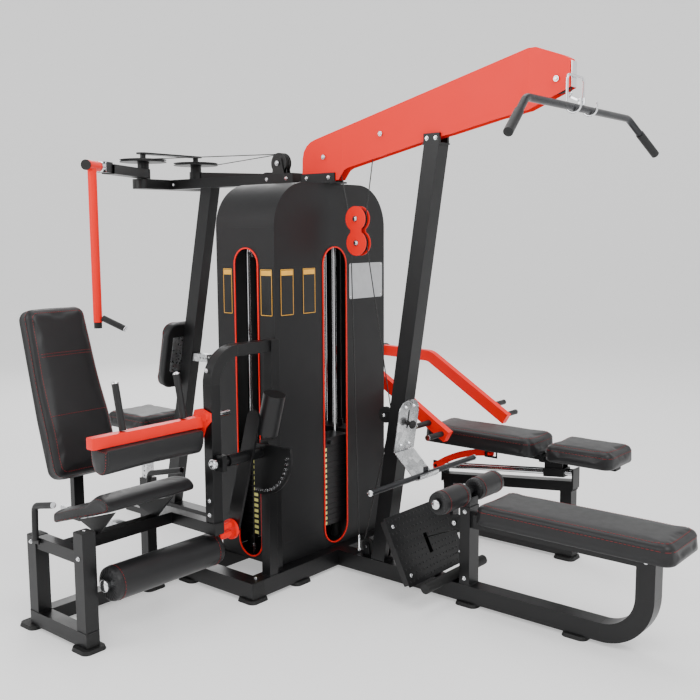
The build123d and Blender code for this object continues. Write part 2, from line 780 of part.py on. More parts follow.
# low cable pulleys
FLOAT_UP = (336, 1659)
FLOAT_LOW = (341, 1550)
STRUT_SHEAVE = (499, 775)
BASE_SHEAVE = (395, 136)
LOW_SHEAVE = (884, 348)
TOP_SHEAVE = (316, 1538)   # inner stacks: distance out from the centre, and height
TOP_SHEAVE_R = 46.4
INNER_END = 160            # where an inner cable meets its floor anchor


def float_bracket():
    """Two red figure-eight cheeks and their pins, hanging on the cables."""
    (ux, uz), (lx, lz) = FLOAT_UP, FLOAT_LOW
    solids = []
    for s in (-1, 1):
        with BuildPart() as cheek:
            with BuildSketch(Plane(origin=(0, s * 14, 0), x_dir=(1, 0, 0), z_dir=(0, -1, 0))):
                with Locations((ux, uz), (lx, lz)):
                    Circle(57)
                with Locations(((ux + lx) / 2, (uz + lz) / 2)):
                    Rectangle(62, 60)
                with Locations((ux, uz), (lx, lz)):
                    Circle(8, mode=Mode.SUBTRACT)
            extrude(amount=-4 * s)
        solids.append(cheek.part)
    for x, z in (FLOAT_UP, FLOAT_LOW):
        solids.append(rod((x, -21, z), (x, 21, z), 7.95))
        solids += [bolt_head((x, s * 21, z), (0, s, 0), 13, 5) for s in (-1, 1)]
    return solids


FLOAT_SHEAVES = [sheave((x, 0, z), 46, bore=7.95 + FIT) for x, z in (FLOAT_UP, FLOAT_LOW)]
save("float_bracket", float_bracket() + FLOAT_SHEAVES)


def sheave_ears(centre, wall_low, wall_high, low, high):
    """Pair of ears from a sheave to a wall at wall_low and wall_high in X."""
    x, z = centre
    side = 1 if wall_low > x else -1
    solids = []
    for s in (-1, 1):
        y = sorted((s * 11, s * 15))
        outline = [(wall_low, low), (x - side * 12, z - 12), (x - side * 12, z + 12),
                   (wall_high, high)]
        solids.append(xz_plate(outline, *y, holes=[(x, z, 6.0)]))
    solids.append(rod((x, -20, z), (x, 20, z), 5.95))
    solids += [bolt_head((x, s * 20, z), (0, s, 0), 10, 5) for s in (-1, 1)]
    return solids


def inner_hanger(side):
    """Top sheave of the leg or press stack, its hanger and the cable's floor anchor."""
    x, z = TOP_SHEAVE
    down = x + groove(TOP_SHEAVE_R)
    solids = [sheave((x, 0, z), TOP_SHEAVE_R, 14, 6.0), rod((x, -20, z), (x, 20, z), 5.95)]
    outline = [(252, RAIL_Z - 0.1), (288, RAIL_Z - 0.1), (330, z + 8), (330, z - 12), (302, z - 12)]
    for s in (-1, 1):
        solids.append(xz_plate(outline, *sorted((s * 11, s * 15)), holes=[(x, z, 6.0)]))
    solids.append(rod((down, 0, PLATE_Z + PLATE_T + 0.1), (down, 0, INNER_END), 7))
    return [solid.rotate(Axis.Z, 90 * side) for solid in solids]


STRUT_HALF = 38.1          # from the strut's centre line to its face, along X
POST_FACE = LAT_POST_X - 25
save("sheave_brackets", sheave_ears(STRUT_SHEAVE, strut_x(745) - STRUT_HALF,
                                    strut_x(800) - STRUT_HALF, 745, 800)
     + sheave_ears(LOW_SHEAVE, POST_FACE, POST_FACE, 315, 380)
     + [xz_plate([(375, 90.1), (415, 90.1), (405, 150), (385, 150)], *sorted((s * 11, s * 15)),
                 holes=[(*BASE_SHEAVE, 6.0)]) for s in (-1, 1)]
     + [rod((BASE_SHEAVE[0], -20, BASE_SHEAVE[1]), (BASE_SHEAVE[0], 20, BASE_SHEAVE[1]), 5.95)]
     + [sheave((x, 0, z), 30, 14, 6.0) for x, z in (BASE_SHEAVE, LOW_SHEAVE)]
     + inner_hanger(-1) + inner_hanger(1))
save("strut_pulley", [sheave((STRUT_SHEAVE[0], 0, STRUT_SHEAVE[1]), 32, 14, 6.0)])


# -------------------------------------------------------------------- cables
def tangent_route(stops):
    """Cable round a row of wheels in an XZ plane.

    Each stop is (x, z, r, turn): r is the cable's own radius there and turn is
    +1 when it passes anticlockwise round the wheel, -1 clockwise, 0 at an end.
    """
    legs = []
    for (x0, z0, r0, t0), (x1, z1, r1, t1) in zip(stops, stops[1:]):
        dx, dz = x1 - x0, z1 - z0
        span = hypot(dx, dz)
        a, b = r0 * t0, r1 * t1
        across = (a - b) / span
        along = max(0, 1 - across * across) ** 0.5
        ux, uz = dx / span, dz / span
        nx, nz = uz * along + ux * across, -ux * along + uz * across
        legs.append(((x0 + nx * a, z0 + nz * a), (x1 + nx * b, z1 + nz * b)))
    return legs


def cable(stops, y=0, thick=2.5):
    """Cable of straight runs and arcs for `tangent_route`."""
    legs = tangent_route(stops)
    start = Vector(legs[0][0][0], y, legs[0][0][1])
    with BuildPart() as made:
        with BuildLine() as path:
            for (p, q), stop, following in zip(legs, stops[1:], legs[1:] + [None]):
                if hypot(q[0] - p[0], q[1] - p[1]) > 0.01:
                    Line((p[0], y, p[1]), (q[0], y, q[1]))
                if following:
                    cx, cz, r, turn = stop
                    a0 = atan2(q[1] - cz, q[0] - cx)
                    a1 = atan2(following[0][1] - cz, following[0][0] - cx)
                    sweep_by = (a1 - a0) * turn % (2 * pi) * turn
                    mid = a0 + sweep_by / 2
                    ThreePointArc((q[0], y, q[1]), (cx + r * cos(mid), y, cz + r * sin(mid)),
                                  (following[0][0], y, following[0][1]))
        with BuildSketch(Plane(origin=start, z_dir=path.line % 0)):
            Circle(thick)
        sweep()
    return made.part


HEAD_TOP = STACK_TOP + GAP + 75
LAT_ROUTE = [(STACK_X, HEAD_TOP, 0, 0),
             (*BOOM_REAR, groove(BOOM_REAR_R), -1),
             (*FLOAT_UP, groove(46), 1),
             (*BOOM_MID, groove(BOOM_SHEAVE_R), -1),
             (*BOOM_TIP, groove(BOOM_SHEAVE_R), -1),
             (TIP_DROP, 2121, 0, 0)]
LOW_ROUTE = [(336, 176, 0, 0),
             (*FLOAT_LOW, groove(46), -1),
             (*STRUT_SHEAVE, groove(32), -1),
             (*BASE_SHEAVE, groove(30), 1),
             (*LOW_SHEAVE, groove(30), 1),
             (LOW_SHEAVE[0] + groove(30), 398, 0, 0)]
FLY_SHEAVE = (-140, 1930)
FLY_SHEAVE_Y = 11
FLY_CABLE_Z = FLY_SHEAVE[1] + groove(45)
FLY_CAM_R = 115
CAM_CABLE_R = FLY_CAM_R - 1.5


def fly_cable(side):
    """Cable from one arm cam to the roof pulley and down to the fly stack."""
    px, y = FLY_SHEAVE[0], side * FLY_SHEAVE_Y
    r = groove(45)
    z = FLY_SHEAVE[1]
    dx, dy = px - FLY_X, side * (FLY_SHEAVE_Y - FLY_Y)
    span = hypot(dx, dy)
    tilt = atan2(dy, dx) - side * asin(CAM_CABLE_R / span)
    start = (FLY_X - side * CAM_CABLE_R * sin(tilt), side * (FLY_Y + CAM_CABLE_R * cos(tilt)),
             FLY_CABLE_Z)
    runs = [bent_rod([start, (px - 32, y, FLY_CABLE_Z), (px - 2.1, y, FLY_CABLE_Z)], 60, 2.5)]
    runs.append(cable([(px - 2, z + r, 0, 0), (px, z, r, -1), (px + r, 1900, 0, 0)], y))
    return runs


save("tower_cables", [cable(LAT_ROUTE), cable(LOW_ROUTE)]
     + [rod((336, 0, 90.1), (336, 0, 110), 9), rod((336, 0, 110), (336, 0, 176), 5)]
     + [rod((TIP_DROP, 0, 2121), (TIP_DROP, 0, 2109), 6),
        rod((LOW_SHEAVE[0] + groove(30), 0, 398), (LOW_SHEAVE[0] + groove(30), 0, 414), 6)])


# --------------------------------------------------------------- leg station
def leg_frame():
    """Outer posts, base tubes, seat beams and brackets of the leg station."""
    top = 395
    beam = 50
    mid = top - beam / 2
    inner = LEG_Y0 + SMALL / 2
    solids = [tube((LEG_X0 - 30, LEG_Y0, SMALL_Z), (LEG_X1 + 30, LEG_Y0, SMALL_Z), SMALL, SMALL)]
    solids.append(tube((LEG_X0, LEG_Y0, SMALL_TOP), (LEG_X0, LEG_Y0, top), SMALL, SMALL))
    solids.append(tube((LEG_X1, LEG_Y0, SMALL_TOP), (LEG_X1, LEG_Y0, LEG_POST_TOP), SMALL, SMALL))
    solids.append(tube((LEG_X0 + 30, LEG_Y0, mid), (LEG_X1 - 30, LEG_Y0, mid), beam, beam))
    solids.append(tube((LEG_X0, inner, SMALL_Z), (LEG_X0, -607.5, SMALL_Z), SMALL, SMALL, (1, 0, 0)))
    solids.append(tube((LEG_X0, LEG_MID_Y, SMALL_TOP), (LEG_X0, LEG_MID_Y, top - beam), beam, beam))
    solids.append(tube((LEG_X0 - 25, LEG_MID_Y, mid), (205, LEG_MID_Y, mid), beam, beam))
    solids.append(tube((-100, LEG_Y0 + 25, mid), (-100, LEG_MID_Y - 25, mid), beam, beam, (1, 0, 0)))
    for y in (-1150, -860):
        solids.append(xz_plate([(-125, top + 0.1), (-75, top + 0.1), (30, 501), (-220, 424)],
                               y - 4, y + 4))
    rail = tube((-125, -1000, mid), (-560, -1000, mid), 40, 40)
    for i in range(9):
        x = -250 - 35 * i
        rail = bored(rail, (x, -1050, mid), (0, 1, 0), 5.5, 100)
    return solids, rail


LEG_FRAME, BACK_RAIL = leg_frame()


def seat_handles():
    """Bent grips either side of the leg seat."""
    near = bent_rod([(-225, -1352, 388), (-219, -1352, 529), (-86, -1352, 556)], 28, 13)
    far = bent_rod([(-380, -668, 372), (-372, -668, 495), (-140, -668, 548)], 28, 13)
    lug = block((-245, -205), (-1352, LEG_Y0 - 30.1), (372, 387.9))
    arm = block((-400, -360), (-735, -655), (355, 371.9))
    return [near, far, lug, block((-400, -295.1), (-785, -735.1), (345, 371.9)), arm]


save("leg_station_frame", LEG_FRAME + seat_handles())


def leg_arch():
    """Bent guard tube that carries the lever shaft and the hold-down pivot."""
    crown = 1110
    arch = bent_tube([(ARCH_X, ARCH_Y0, 395), (ARCH_X, ARCH_Y0, crown), (ARCH_X, -440.5, crown)],
                     130, 50, 50, (1, 0, 0))
    arch[0] = bored(arch[0], (THIGH[0], ARCH_Y0 - 60, THIGH[1]), (0, 1, 0), 12.05, 120)
    arch.append(tube((185, -415.5, BEAM_TOP), (185, -415.5, crown + 25), 50, 50))
    arch.append(tube((KNEE[0] - 5, -470.5, BEAM_TOP), (KNEE[0] - 5, -470.5, 700), 50, 50))
    ear = block((200.1, 248), (-772, -748), (622, 690))
    arch.append(bored(ear, (KNEE[0], -800, KNEE[1]), (0, 1, 0), 15.0, 100))
    arch.append(rod((KNEE[0], -790, KNEE[1]), (KNEE[0], -495.6, KNEE[1]), 15 - FIT))
    arch.append(rod((KNEE[0], -800, KNEE[1]), (KNEE[0], -790, KNEE[1]), 22))
    return arch


save("leg_arch", leg_arch())


def leg_lever():
    """Flat lever with its sleeve, sector cam and red end."""
    (kx, kz), (hx, hz) = KNEE, HUB
    run = hypot(kx - hx, kz - hz)
    ux, uz = (kx - hx) / run, (kz - hz) / run
    angle = degrees(atan2(uz, ux))
    face = Plane(origin=(kx, -599, kz), x_dir=(1, 0, 0), z_dir=(0, -1, 0))
    with BuildPart() as bar:
        with BuildSketch(face):
            with Locations(Location((-ux * 80, -uz * 80), angle)):
                SlotOverall(580, 72)
            Circle(24.1, mode=Mode.SUBTRACT)
        extrude(amount=12)
    solids = [bar.part, rod((kx, -715, kz), (kx, -528, kz), 24, 15.0)]
    sector = Plane(origin=(kx, -516, kz), x_dir=(1, 0, 0), z_dir=(0, -1, 0))
    with BuildPart() as cam:
        with BuildSketch(sector):
            Circle(185)
            Polygon((-35, -300), (300, -300), (300, 40), (-35, 40), align=None,
                    mode=Mode.INTERSECT)
            Circle(15.0, mode=Mode.SUBTRACT)
        extrude(amount=11.9)
    solids.append(cam.part)
    return solids, (ux, uz)


LEVER, LEVER_DIR = leg_lever()


def lever_pegs():
    """Row of stop pegs round the sector, and its bright rim."""
    kx, kz = KNEE
    solids = []
    for i in range(13):
        turn = radians(-97 + 8 * i)
        x, z = kx + 165 * cos(turn), kz + 165 * sin(turn)
        solids.append(rod((x, -536, z), (x, -528, z), 6))
    return solids


def counterweight():
    """Round steel counterweight bolted beside the lever's upper end."""
    kx, kz = KNEE
    ux, uz = LEVER_DIR
    cx = kx + ux * 205 + uz * 40
    cz = kz + uz * 205 - ux * 40
    low = (cx - ux * 90, -551, cz - uz * 90)
    high = (cx + ux * 90, -551, cz + uz * 90)
    return [rod(low, high, 47)]


save("leg_lever", LEVER + counterweight() + lever_pegs())


def ankle_arm():
    """Red flange, twin tubes and end plate that carry the ankle roller."""
    (hx, hz), (ax, az) = HUB, ANKLE
    y0, y1 = -611.2, -696
    solids = [rod((hx, y0, hz), (hx, y0 - 14, hz), 44)]
    for dz in (-20, 20):
        solids.append(rod((hx, y0 - 14, hz + dz), (hx, y1, hz + dz), 14, 11))
    solids.append(xz_plate([(hx - 26, hz + 36), (hx + 26, hz + 36), (ax + 26, az - 22),
                            (ax - 26, az - 22)], y1 - 8, y1))
    solids.append(rod((ax, y1 - 8, az), (ax, -1270, az), 12.5))
    return solids


ANKLE_CAP = rod((ANKLE[0], -1278, ANKLE[1]), (ANKLE[0], -1270.1, ANKLE[1]), 24)
ANKLE_FOAM = rod((ANKLE[0], -1262, ANKLE[1]), (ANKLE[0], -708, ANKLE[1]), 70, 12.5 + FIT)
save("ankle_arm", ankle_arm() + [ANKLE_CAP])
save("ankle_roller", [ANKLE_FOAM])


def thigh_bar():
    """Red hold-down bar with its bracket plate, shaft and two grips."""
    tx, tz = THIGH
    plate = xz_plate([(92, 748), (80, 800), (108, 872), (150, 882), (205, 866), (205, 832),
                      (172, 800), (150, 748)], -797, -789)
    solids = [plate, rod((tx, -788.9, tz), (tx, -668, tz), 12), rod((tx, -806, tz), (tx, -797.1, tz), 18)]
    solids.append(tube((140, -797.1, 826), (140, -1330, 826), 40, 45, (1, 0, 0)))
    return solids


def thigh_grips():
    """Two upright grips on the hold-down bar."""
    solids = []
    for y in (-1180, -880):
        foot_at, head = (138, y, 851.7), (100, y, 1030)
        solids.append(rod(foot_at, head, 14))
    return solids


save("thigh_bar", thigh_bar() + thigh_grips())
save("thigh_pad", [cushion((84, 196), (-1300, -812), (694, 803), 24)])


def slab(front, thick, y0, y1, corner):
    """Cushion from the XZ outline of its front face, thickened backwards."""
    (x0, z0), (x1, z1) = front
    run = hypot(x1 - x0, z1 - z0)
    bx, bz = -(z1 - z0) / run * thick, (x1 - x0) / run * thick
    with BuildPart() as made:
        add(xz_plate([(x0, z0), (x1, z1), (x1 + bx, z1 + bz), (x0 + bx, z0 + bz)], y0, y1))
        fillet(made.edges(), corner)
    return made.part


def leg_seat():
    """Sloping seat cushion, higher at the knees."""
    outline = [(-282, 466), (-262, 417), (50, 512), (104, 532), (116, 558), (94, 582), (56, 588)]
    with BuildPart() as made:
        add(xz_plate(outline, -1250, -800))
        fillet(made.edges().filter_by(Axis.Y, reverse=True), 14)
    return made.part


save("leg_seat_pad", [leg_seat()])
save("leg_back_pad", [slab(((-335, 570), (-555, 1290)), 82, -1168, -832, 26)])


BACK_FACE = -421.2         # rear of the backrest at its lower edge, along X


def back_carrier():
    """Sleeve on the back rail with the upright behind the backrest."""
    top = 395
    mid = top - 25
    solids = [tube((-500, -1000, mid), (-410, -1000, mid), 50, 50, wall=4.8)]
    solids.append(tube((-455, -1000, mid + 25.1), (-455, -1000, 600), 50, 30))
    lean = 220 / 720
    solids.append(tube((-455, -1000, 600.1), (-455 - lean * 420, -1000, 1020), 50, 30,
                       cut=(0, 0, 1)))
    board_low, board_high = 640, 1240
    near = [(BACK_FACE - lean * (z - 570), z) for z in (board_low, board_high)]
    far = [(x - 8.4, z) for x, z in near[::-1]]
    solids.append(xz_plate(near + far, -1130, -870))
    solids += pull_pin((-455, -1025.1, mid), (0, -1, 0))
    return solids


save("back_carrier", back_carrier())


# --------------------------------------------------------------- fly station
def fly_x(z):
    """Centre line of the leaning fly column."""
    return -657 + 0.213 * (z - 1813)


BACK_Z = 935


def fly_frame():
    """Leaning column, overhead beam, crosshead, base tube and arm posts."""
    column = tube((fly_x(BEAM_TOP), 0, BEAM_TOP), (fly_x(FLY_Z), 0, FLY_Z), SMALL, 80, cut=(0, 0, 1))
    column = cut_box(column, (-1000, -700), (-21, 21), (BACK_Z - 21, BACK_Z + 21))
    beam = tube((-30, 0, FLY_Z + 25), (FLY_X + 50, 0, FLY_Z + 25), 80, 50)
    beam = cut_box(beam, (-STACK_X - 14, -STACK_X + 14), (-24, 24), (1800, 1900))
    solids = [column, beam, tube((-237.5, 0, BEAM_Z), (-1365, 0, BEAM_Z), BEAM, BEAM)]
    with BuildPart() as head:
        with BuildSketch(Plane.XY.offset(FLY_Z + 6)):
            with Locations((FLY_X, 0)):
                SlotOverall(480, 100, rotation=90)
                SlotOverall(472, 92, rotation=90, mode=Mode.SUBTRACT)
        extrude(amount=38)
    solids.append(head.part)
    for z in (FLY_Z, FLY_Z + 44):
        with BuildPart() as skin:
            with BuildSketch(Plane.XY.offset(z)):
                with Locations((FLY_X, 0)):
                    SlotOverall(480, 100, rotation=90)
            extrude(amount=6)
        solids.append(skin.part)
    for s in (-1, 1):
        solids.append(rod((FLY_X, s * FLY_Y, FLY_Z + 50), (FLY_X, s * FLY_Y, 2010), 15 - FIT))
    with BuildPart() as bridge:
        with BuildSketch(Plane.XY.offset(2010)):
            with Locations((FLY_X, 0)):
                SlotOverall(430, 64, rotation=90)
        extrude(amount=8)
    solids.append(bridge.part)
    solids.append(tube((FLY_POST_X, 0, BEAM_TOP), (FLY_POST_X, 0, 190), 70, 70, wall=9.9))
    return solids


save("fly_frame", fly_frame())


def fly_pulleys():
    """Roof pulley block over the fly stack."""
    x, z = FLY_SHEAVE
    solids = []
    for s in (-1, 1):
        y = sorted((s * 21, s * 25))
        solids.append(xz_plate([(x - 40, FLY_Z + 50.1), (x + 40, FLY_Z + 50.1), (x + 22, z + 24),
                                (x - 22, z + 24)], *y, holes=[(x, z, 8.0)]))
        solids.append(sheave((x, s * FLY_SHEAVE_Y, z), 45, 16, 8.0))
        solids.append(bolt_head((x, s * 31, z), (0, s, 0), 12, 5))
    solids.append(rod((x, -31, z), (x, 31, z), 7.95))
    return solids


save("fly_pulleys", fly_pulleys())
FLY_DROP_X = FLY_SHEAVE[0] + groove(45) + 0.2
FLY_DROPS = [rod((FLY_DROP_X, s * FLY_SHEAVE_Y, 1900), (FLY_DROP_X, s * FLY_SHEAVE_Y, HEAD_TOP + 20), 2.5)
             for s in (-1, 1)]
save("fly_cables", fly_cable(-1) + fly_cable(1) + FLY_DROPS)


def fly_arm(side):
    """Swinging arm: hub, cam, box bar and the spigot for its handle."""
    turn = radians(FLY_OPEN) * side
    ux, uy = cos(turn), sin(turn)
    cx, cy = FLY_X, side * FLY_Y
    low, high = FLY_Z + 53, FLY_Z + 103
    mid = (low + high) / 2

    def at(r, z):
        return (cx + ux * r, cy + uy * r, z)

    bar = tube(at(20, mid), at(400, mid), 70, 46, (-uy, ux, 0))
    with BuildPart() as clipped:
        add(bar)
        add(rod((cx, cy, low - 5), (cx, cy, high + 5), 36), mode=Mode.SUBTRACT)
    solids = [rod((cx, cy, low), (cx, cy, high), 35.9, 15.0), clipped.part]
    axle = mid + 6
    solids.append(tube(at(400.1, axle), at(470, axle), 52, 50, (-uy, ux, 0)))
    solids.append(rod(at(470.1, axle), at(500, axle), 25))
    solids.append(rod(at(500.1, axle), at(616, axle), SPIGOT_R))
    solids.append(rod(at(616.1, axle), at(624, axle), SLEEVE_R))
    solids.append(rod((cx, cy, FLY_CABLE_Z - 7), (cx, cy, FLY_CABLE_Z - 4), FLY_CAM_R + 6, 15.0))
    solids.append(rod((cx, cy, FLY_CABLE_Z - 3.9), (cx, cy, FLY_CABLE_Z + 3.9), FLY_CAM_R - 4.5, 15.0))
    solids.append(rod((cx, cy, FLY_CABLE_Z + 4), (cx, cy, FLY_CABLE_Z + 7), FLY_CAM_R + 6, 15.0))
    solids.append(rod((cx, cy, high + 0.1), (cx, cy, FLY_CABLE_Z - 7.1), 30, 15.0))
    return solids


def fly_handle(side):
    """Red sleeve, hanging tube and grips."""
    turn = radians(FLY_OPEN) * side
    ux, uy = cos(turn), sin(turn)
    cx, cy = FLY_X, side * FLY_Y
    mid = FLY_Z + 78 + 6

    def at(r, z):
        return Vector(cx + ux * r, cy + uy * r, z)

    solids = [rod(at(505, mid), at(613, mid), SLEEVE_R, SPIGOT_R + FIT)]
    drop = rod(at(FLY_REACH, mid - 10), at(FLY_REACH, 1180), HANG_R, HANG_R - WALL)
    with BuildPart() as hang:
        add(drop)
        add(rod(at(490, mid), at(630, mid), SLEEVE_R + 0.1), mode=Mode.SUBTRACT)
    solids.append(hang.part)
    solids.append(rod(at(FLY_REACH, 1179.9), at(FLY_REACH, 1151), HANG_R - 2))
    back = Vector(-uy, ux, 0) * -side
    start = at(FLY_REACH, 1200) + back * (HANG_R + 6.2)
    solids.append(rod(start, start + back * 112 + Vector(0, 0, -50), 15))
    return solids


for SIDE, NAME in ((-1, "left"), (1, "right")):
    save(f"fly_arm_{NAME}", fly_arm(SIDE))
    save(f"fly_handle_{NAME}", fly_handle(SIDE))


def zinc_post():
    """Perforated zinc tube in the fly seat socket."""
    post = tube((FLY_POST_X, 0, BEAM_TOP), (FLY_POST_X, 0, 400), 50, 50)
    for i in range(7):
        z = 205 + 28 * i
        post = bored(post, (FLY_POST_X, -50, z), (0, 1, 0), 5.5, 100)
    return post


def fly_seat_post():
    """Sliding sleeve, seat plate and pull pin."""
    solids = [tube((FLY_POST_X, 0, 290), (FLY_POST_X, 0, 494), 60, 60, wall=4.8)]
    solids.append(block((FLY_POST_X - 90, FLY_POST_X + 90), (-70, 70), (494.1, 500)))
    solids += pull_pin((FLY_POST_X, -30.1, 330), (0, -1, 0))
    return solids


save("zinc_tubes", [BACK_RAIL, zinc_post()])
save("fly_seat_post", fly_seat_post())
save("fly_seat_pad", [cushion((-1425, -1072), (-165, 165), (501, 585), 22)])


LEAN = 0.213
FLY_BACK_FACE = -935.9     # rear of the fly backrest at z 768, along X


def fly_back_carrier():
    """Perforated zinc tube through the column, with its pad plate."""
    rear = FLY_BACK_FACE + LEAN * (BACK_Z - 768) + 6.8
    bar = tube((rear, 0, BACK_Z), (-660, 0, BACK_Z), 41, 41, cut=(0.978, 0, -0.208))
    bar = kept_box(bar, (-1000, -690), (-30, 30), (900, 970))
    for i in range(5):
        x = -740 + 22 * i
        bar = bored(bar, (x, -50, BACK_Z), (0, 1, 0), 4.5, 100)
    near = [(FLY_BACK_FACE + LEAN * (z - 768) + 0.5, z) for z in (850, 1040)]
    far = [(x + 6.2, z) for x, z in near[::-1]]
    return [bar, xz_plate(near + far, -90, 90)]


save("fly_back_carrier", fly_back_carrier())
save("fly_back_pad", [slab(((-1010, 768), (-1010 + LEAN * 362, 1130)), -72, -130, 130, 24)])


# ------------------------------------------------------------- press station
def rail_top(x):
    """Top of the sloping press beam."""
    return 314 + tan(radians(RAIL_LEAN)) * (x - 303)


def post_under_beam(x):
    """Post from the base tube, cut to the slope of the beam."""
    drop = 50 / cos(radians(RAIL_LEAN))
    post = tube((x, PRESS_Y, SMALL_TOP), (x, PRESS_Y, 400), SMALL, SMALL)
    slope = [(x - 60, rail_top(x - 60) - drop), (x + 60, rail_top(x + 60) - drop),
             (x + 60, 500), (x - 60, 500)]
    with BuildPart() as made:
        add(post)
        add(xz_plate(slope, PRESS_Y - 50, PRESS_Y + 50), mode=Mode.SUBTRACT)
    return made.part


LINK_A = (262, 352)
LINK_B = (600, 470)
BACK_HINGE = (893, 485)
RAIL_UP = 40


def press_frame():
    """Bench base, posts, sloping beam, end brackets and the arm column."""
    y = PRESS_Y
    px, pz = PRESS_PIVOT
    lean = Vector(cos(radians(RAIL_LEAN)), 0, sin(radians(RAIL_LEAN)))
    normal = Vector(-lean.Z, 0, lean.X)
    half = 25
    start = Vector(300, y, rail_top(300)) - normal * half
    stop = Vector(1050, y, rail_top(1050)) - normal * half
    solids = [tube((200, y, SMALL_Z), (1058, y, SMALL_Z), SMALL, SMALL)]
    solids.append(tube((200, 607.5, SMALL_Z), (200, y - 30, SMALL_Z), SMALL, SMALL, (1, 0, 0)))
    solids += [post_under_beam(x) for x in (337, 1020)]
    solids.append(tube(start, stop, SMALL, 50))
    for x, thick in ((292, 7.5), (1051.5, 8)):
        top = rail_top(x) + RAIL_UP + 20
        solids.append(block((x, x + thick), (y - 32.6, y + 36), (rail_top(x) - 40, top)))
    solids.append(xz_plate([(240, 330), (291.9, 330), (291.9, 378), (240, 378)], y - 33, y - 27,
                           holes=[(*LINK_A, 8.0)]))
    solids.append(rod((LINK_A[0], y - 45, LINK_A[1]), (LINK_A[0], y - 20, LINK_A[1]), 8 - FIT))
    solids.append(tube((-237.5, 440, SMALL_Z), (px + 37.5, 440, SMALL_Z), SMALL, SMALL))
    solids.append(tube((px, 440, FLOOR_PAD), (px, 440, 990), BEAM, BEAM))
    solids.append(rod((px, 477.6, pz), (px, 1122, pz), 20 - FIT))
    solids.append(rod((px, 1122, pz), (px, 1130, pz), 28))
    return solids


def press_rails():
    """Two polished guide rails above the beam."""
    y = PRESS_Y
    solids = []
    for s in (-1, 1):
        low = (301, y + s * 20, rail_top(301) + RAIL_UP)
        high = (1050, y + s * 20, rail_top(1050) + RAIL_UP)
        solids.append(rod(low, high, 12.5))
    return solids


save("press_frame", press_frame() + press_rails())


def press_arms():
    """Torque tube, two cranked arms and four grips."""
    px, pz = PRESS_PIVOT
    solids = [rod((px, 482, pz), (px, 1116, pz), 32, 20.0)]
    near, far = PRESS_ARMS
    for y, out in ((near, -1), (far, 1)):
        bent = bent_tube([(px + 12, y, pz - 4), (-2, y, 893), (500, y, 587)], 90, 40, 60)
        with BuildPart() as first:
            add(bent[0])
            add(rod((px, y - 40, pz), (px, y + 40, pz), 32.1), mode=Mode.SUBTRACT)
        bent[0] = first.part.solids().sort_by(SortBy.VOLUME)[-1]
        solids += [Part() + bent[0], bent[1], bent[2]]
        along = Vector(502, 0, -306).normalized()
        tip = Vector(500, y, 587)
        plane = Plane(origin=tip + along * 0.1, x_dir=(0, 1, 0), z_dir=along)
        with BuildPart() as cap:
            with BuildSketch(plane):
                Rectangle(40, 60)
            extrude(amount=4)
        solids.append(cap.part)
    return solids


def press_grips():
    """Rubber grips pointing outwards from both arms."""
    solids = []
    for y, out in zip(PRESS_ARMS, (-1, 1)):
        for x, z in ((402, 647), (478, 600)):
            solids.append(rod((x, y + out * 20.1, z), (x, y + out * 140, z), 14))
            solids.append(rod((x, y + out * 140, z), (x, y + out * 143, z), 15))
    return solids


save("press_arms", press_arms() + press_grips())


def press_carriage():
    """Block on the rails with the seat frame and the back hinge."""
    y = PRESS_Y
    lean = Vector(cos(radians(RAIL_LEAN)), 0, sin(radians(RAIL_LEAN)))
    start = Vector(900, y, rail_top(900) + RAIL_UP)
    plane = Plane(origin=start, x_dir=(0, 1, 0), z_dir=lean)
    with BuildPart() as shoe:
        with BuildSketch(plane):
            Rectangle(76, 40)
            with Locations((-20, 0), (20, 0)):
                Circle(12.5 + FIT, mode=Mode.SUBTRACT)
        extrude(amount=110)
    top = rail_top(900) + RAIL_UP + 20.5
    solids = [shoe.part]
    for s in (-1, 1):
        wall = sorted((y + s * 24, y + s * 30))
        solids.append(xz_plate([(903, top), (1000, top + 10.6), (1000, 479.9), (903, 479.9)], *wall))
    solids.append(tube((880, y, 490), (1270, y, 490), 60, 20))
    for s in (-1, 1):
        wall = sorted((y + s * 32, y + s * 38))
        solids.append(xz_plate([(876, 468), (940, 468), (940, 499), (876, 499)], *wall,
                               holes=[(*BACK_HINGE, 8.0)]))
    hx, hz = BACK_HINGE
    for s in (-1, 1):
        solids.append(rod((hx, y + s * 30.2, hz), (hx, y + s * 44, hz), 8 - FIT))
    return solids


save("press_carriage", press_carriage())
save("press_seat_pad", [cushion((946, 1296), (PRESS_Y - 140, PRESS_Y + 140), (501, 585), 22)])


def press_back():
    """Back pad frame with its hinge cheeks and the slotted lug of the link."""
    y = PRESS_Y
    solids = [tube((320, y, 490), (872, y, 490), 50, 20)]
    for s in (-1, 1):
        wall = sorted((y + s * 39, y + s * 43))
        cheek = xz_plate([(800, 480), (906, 478), (906, 500), (800, 500)], *wall,
                         holes=[(*BACK_HINGE, 8.0)])
        solids.append(cheek)
        cross = sorted((y + s * 25.1, y + s * 38.9))
        solids.append(block((802, 840), cross, (481, 499)))
    bx, bz = LINK_B
    lug = xz_plate([(bx - 26, 499), (bx - 26, bz - 20), (bx + 46, bz - 20), (bx + 46, 499)],
                   y - 54, y - 47)
    lug = cut_box(lug, (bx - 10, bx + 40), (y - 60, y - 40), (bz - 10, bz + 10.5))
    solids.append(lug)
    solids.append(block((bx - 20, bx + 40), (y - 46.9, y - 25.1), (490.5, 499)))
    return solids


save("press_back_frame", press_back())
save("press_back_pad", [cushion((239, 884), (PRESS_Y - 140, PRESS_Y + 140), (500.5, 592), 24)])


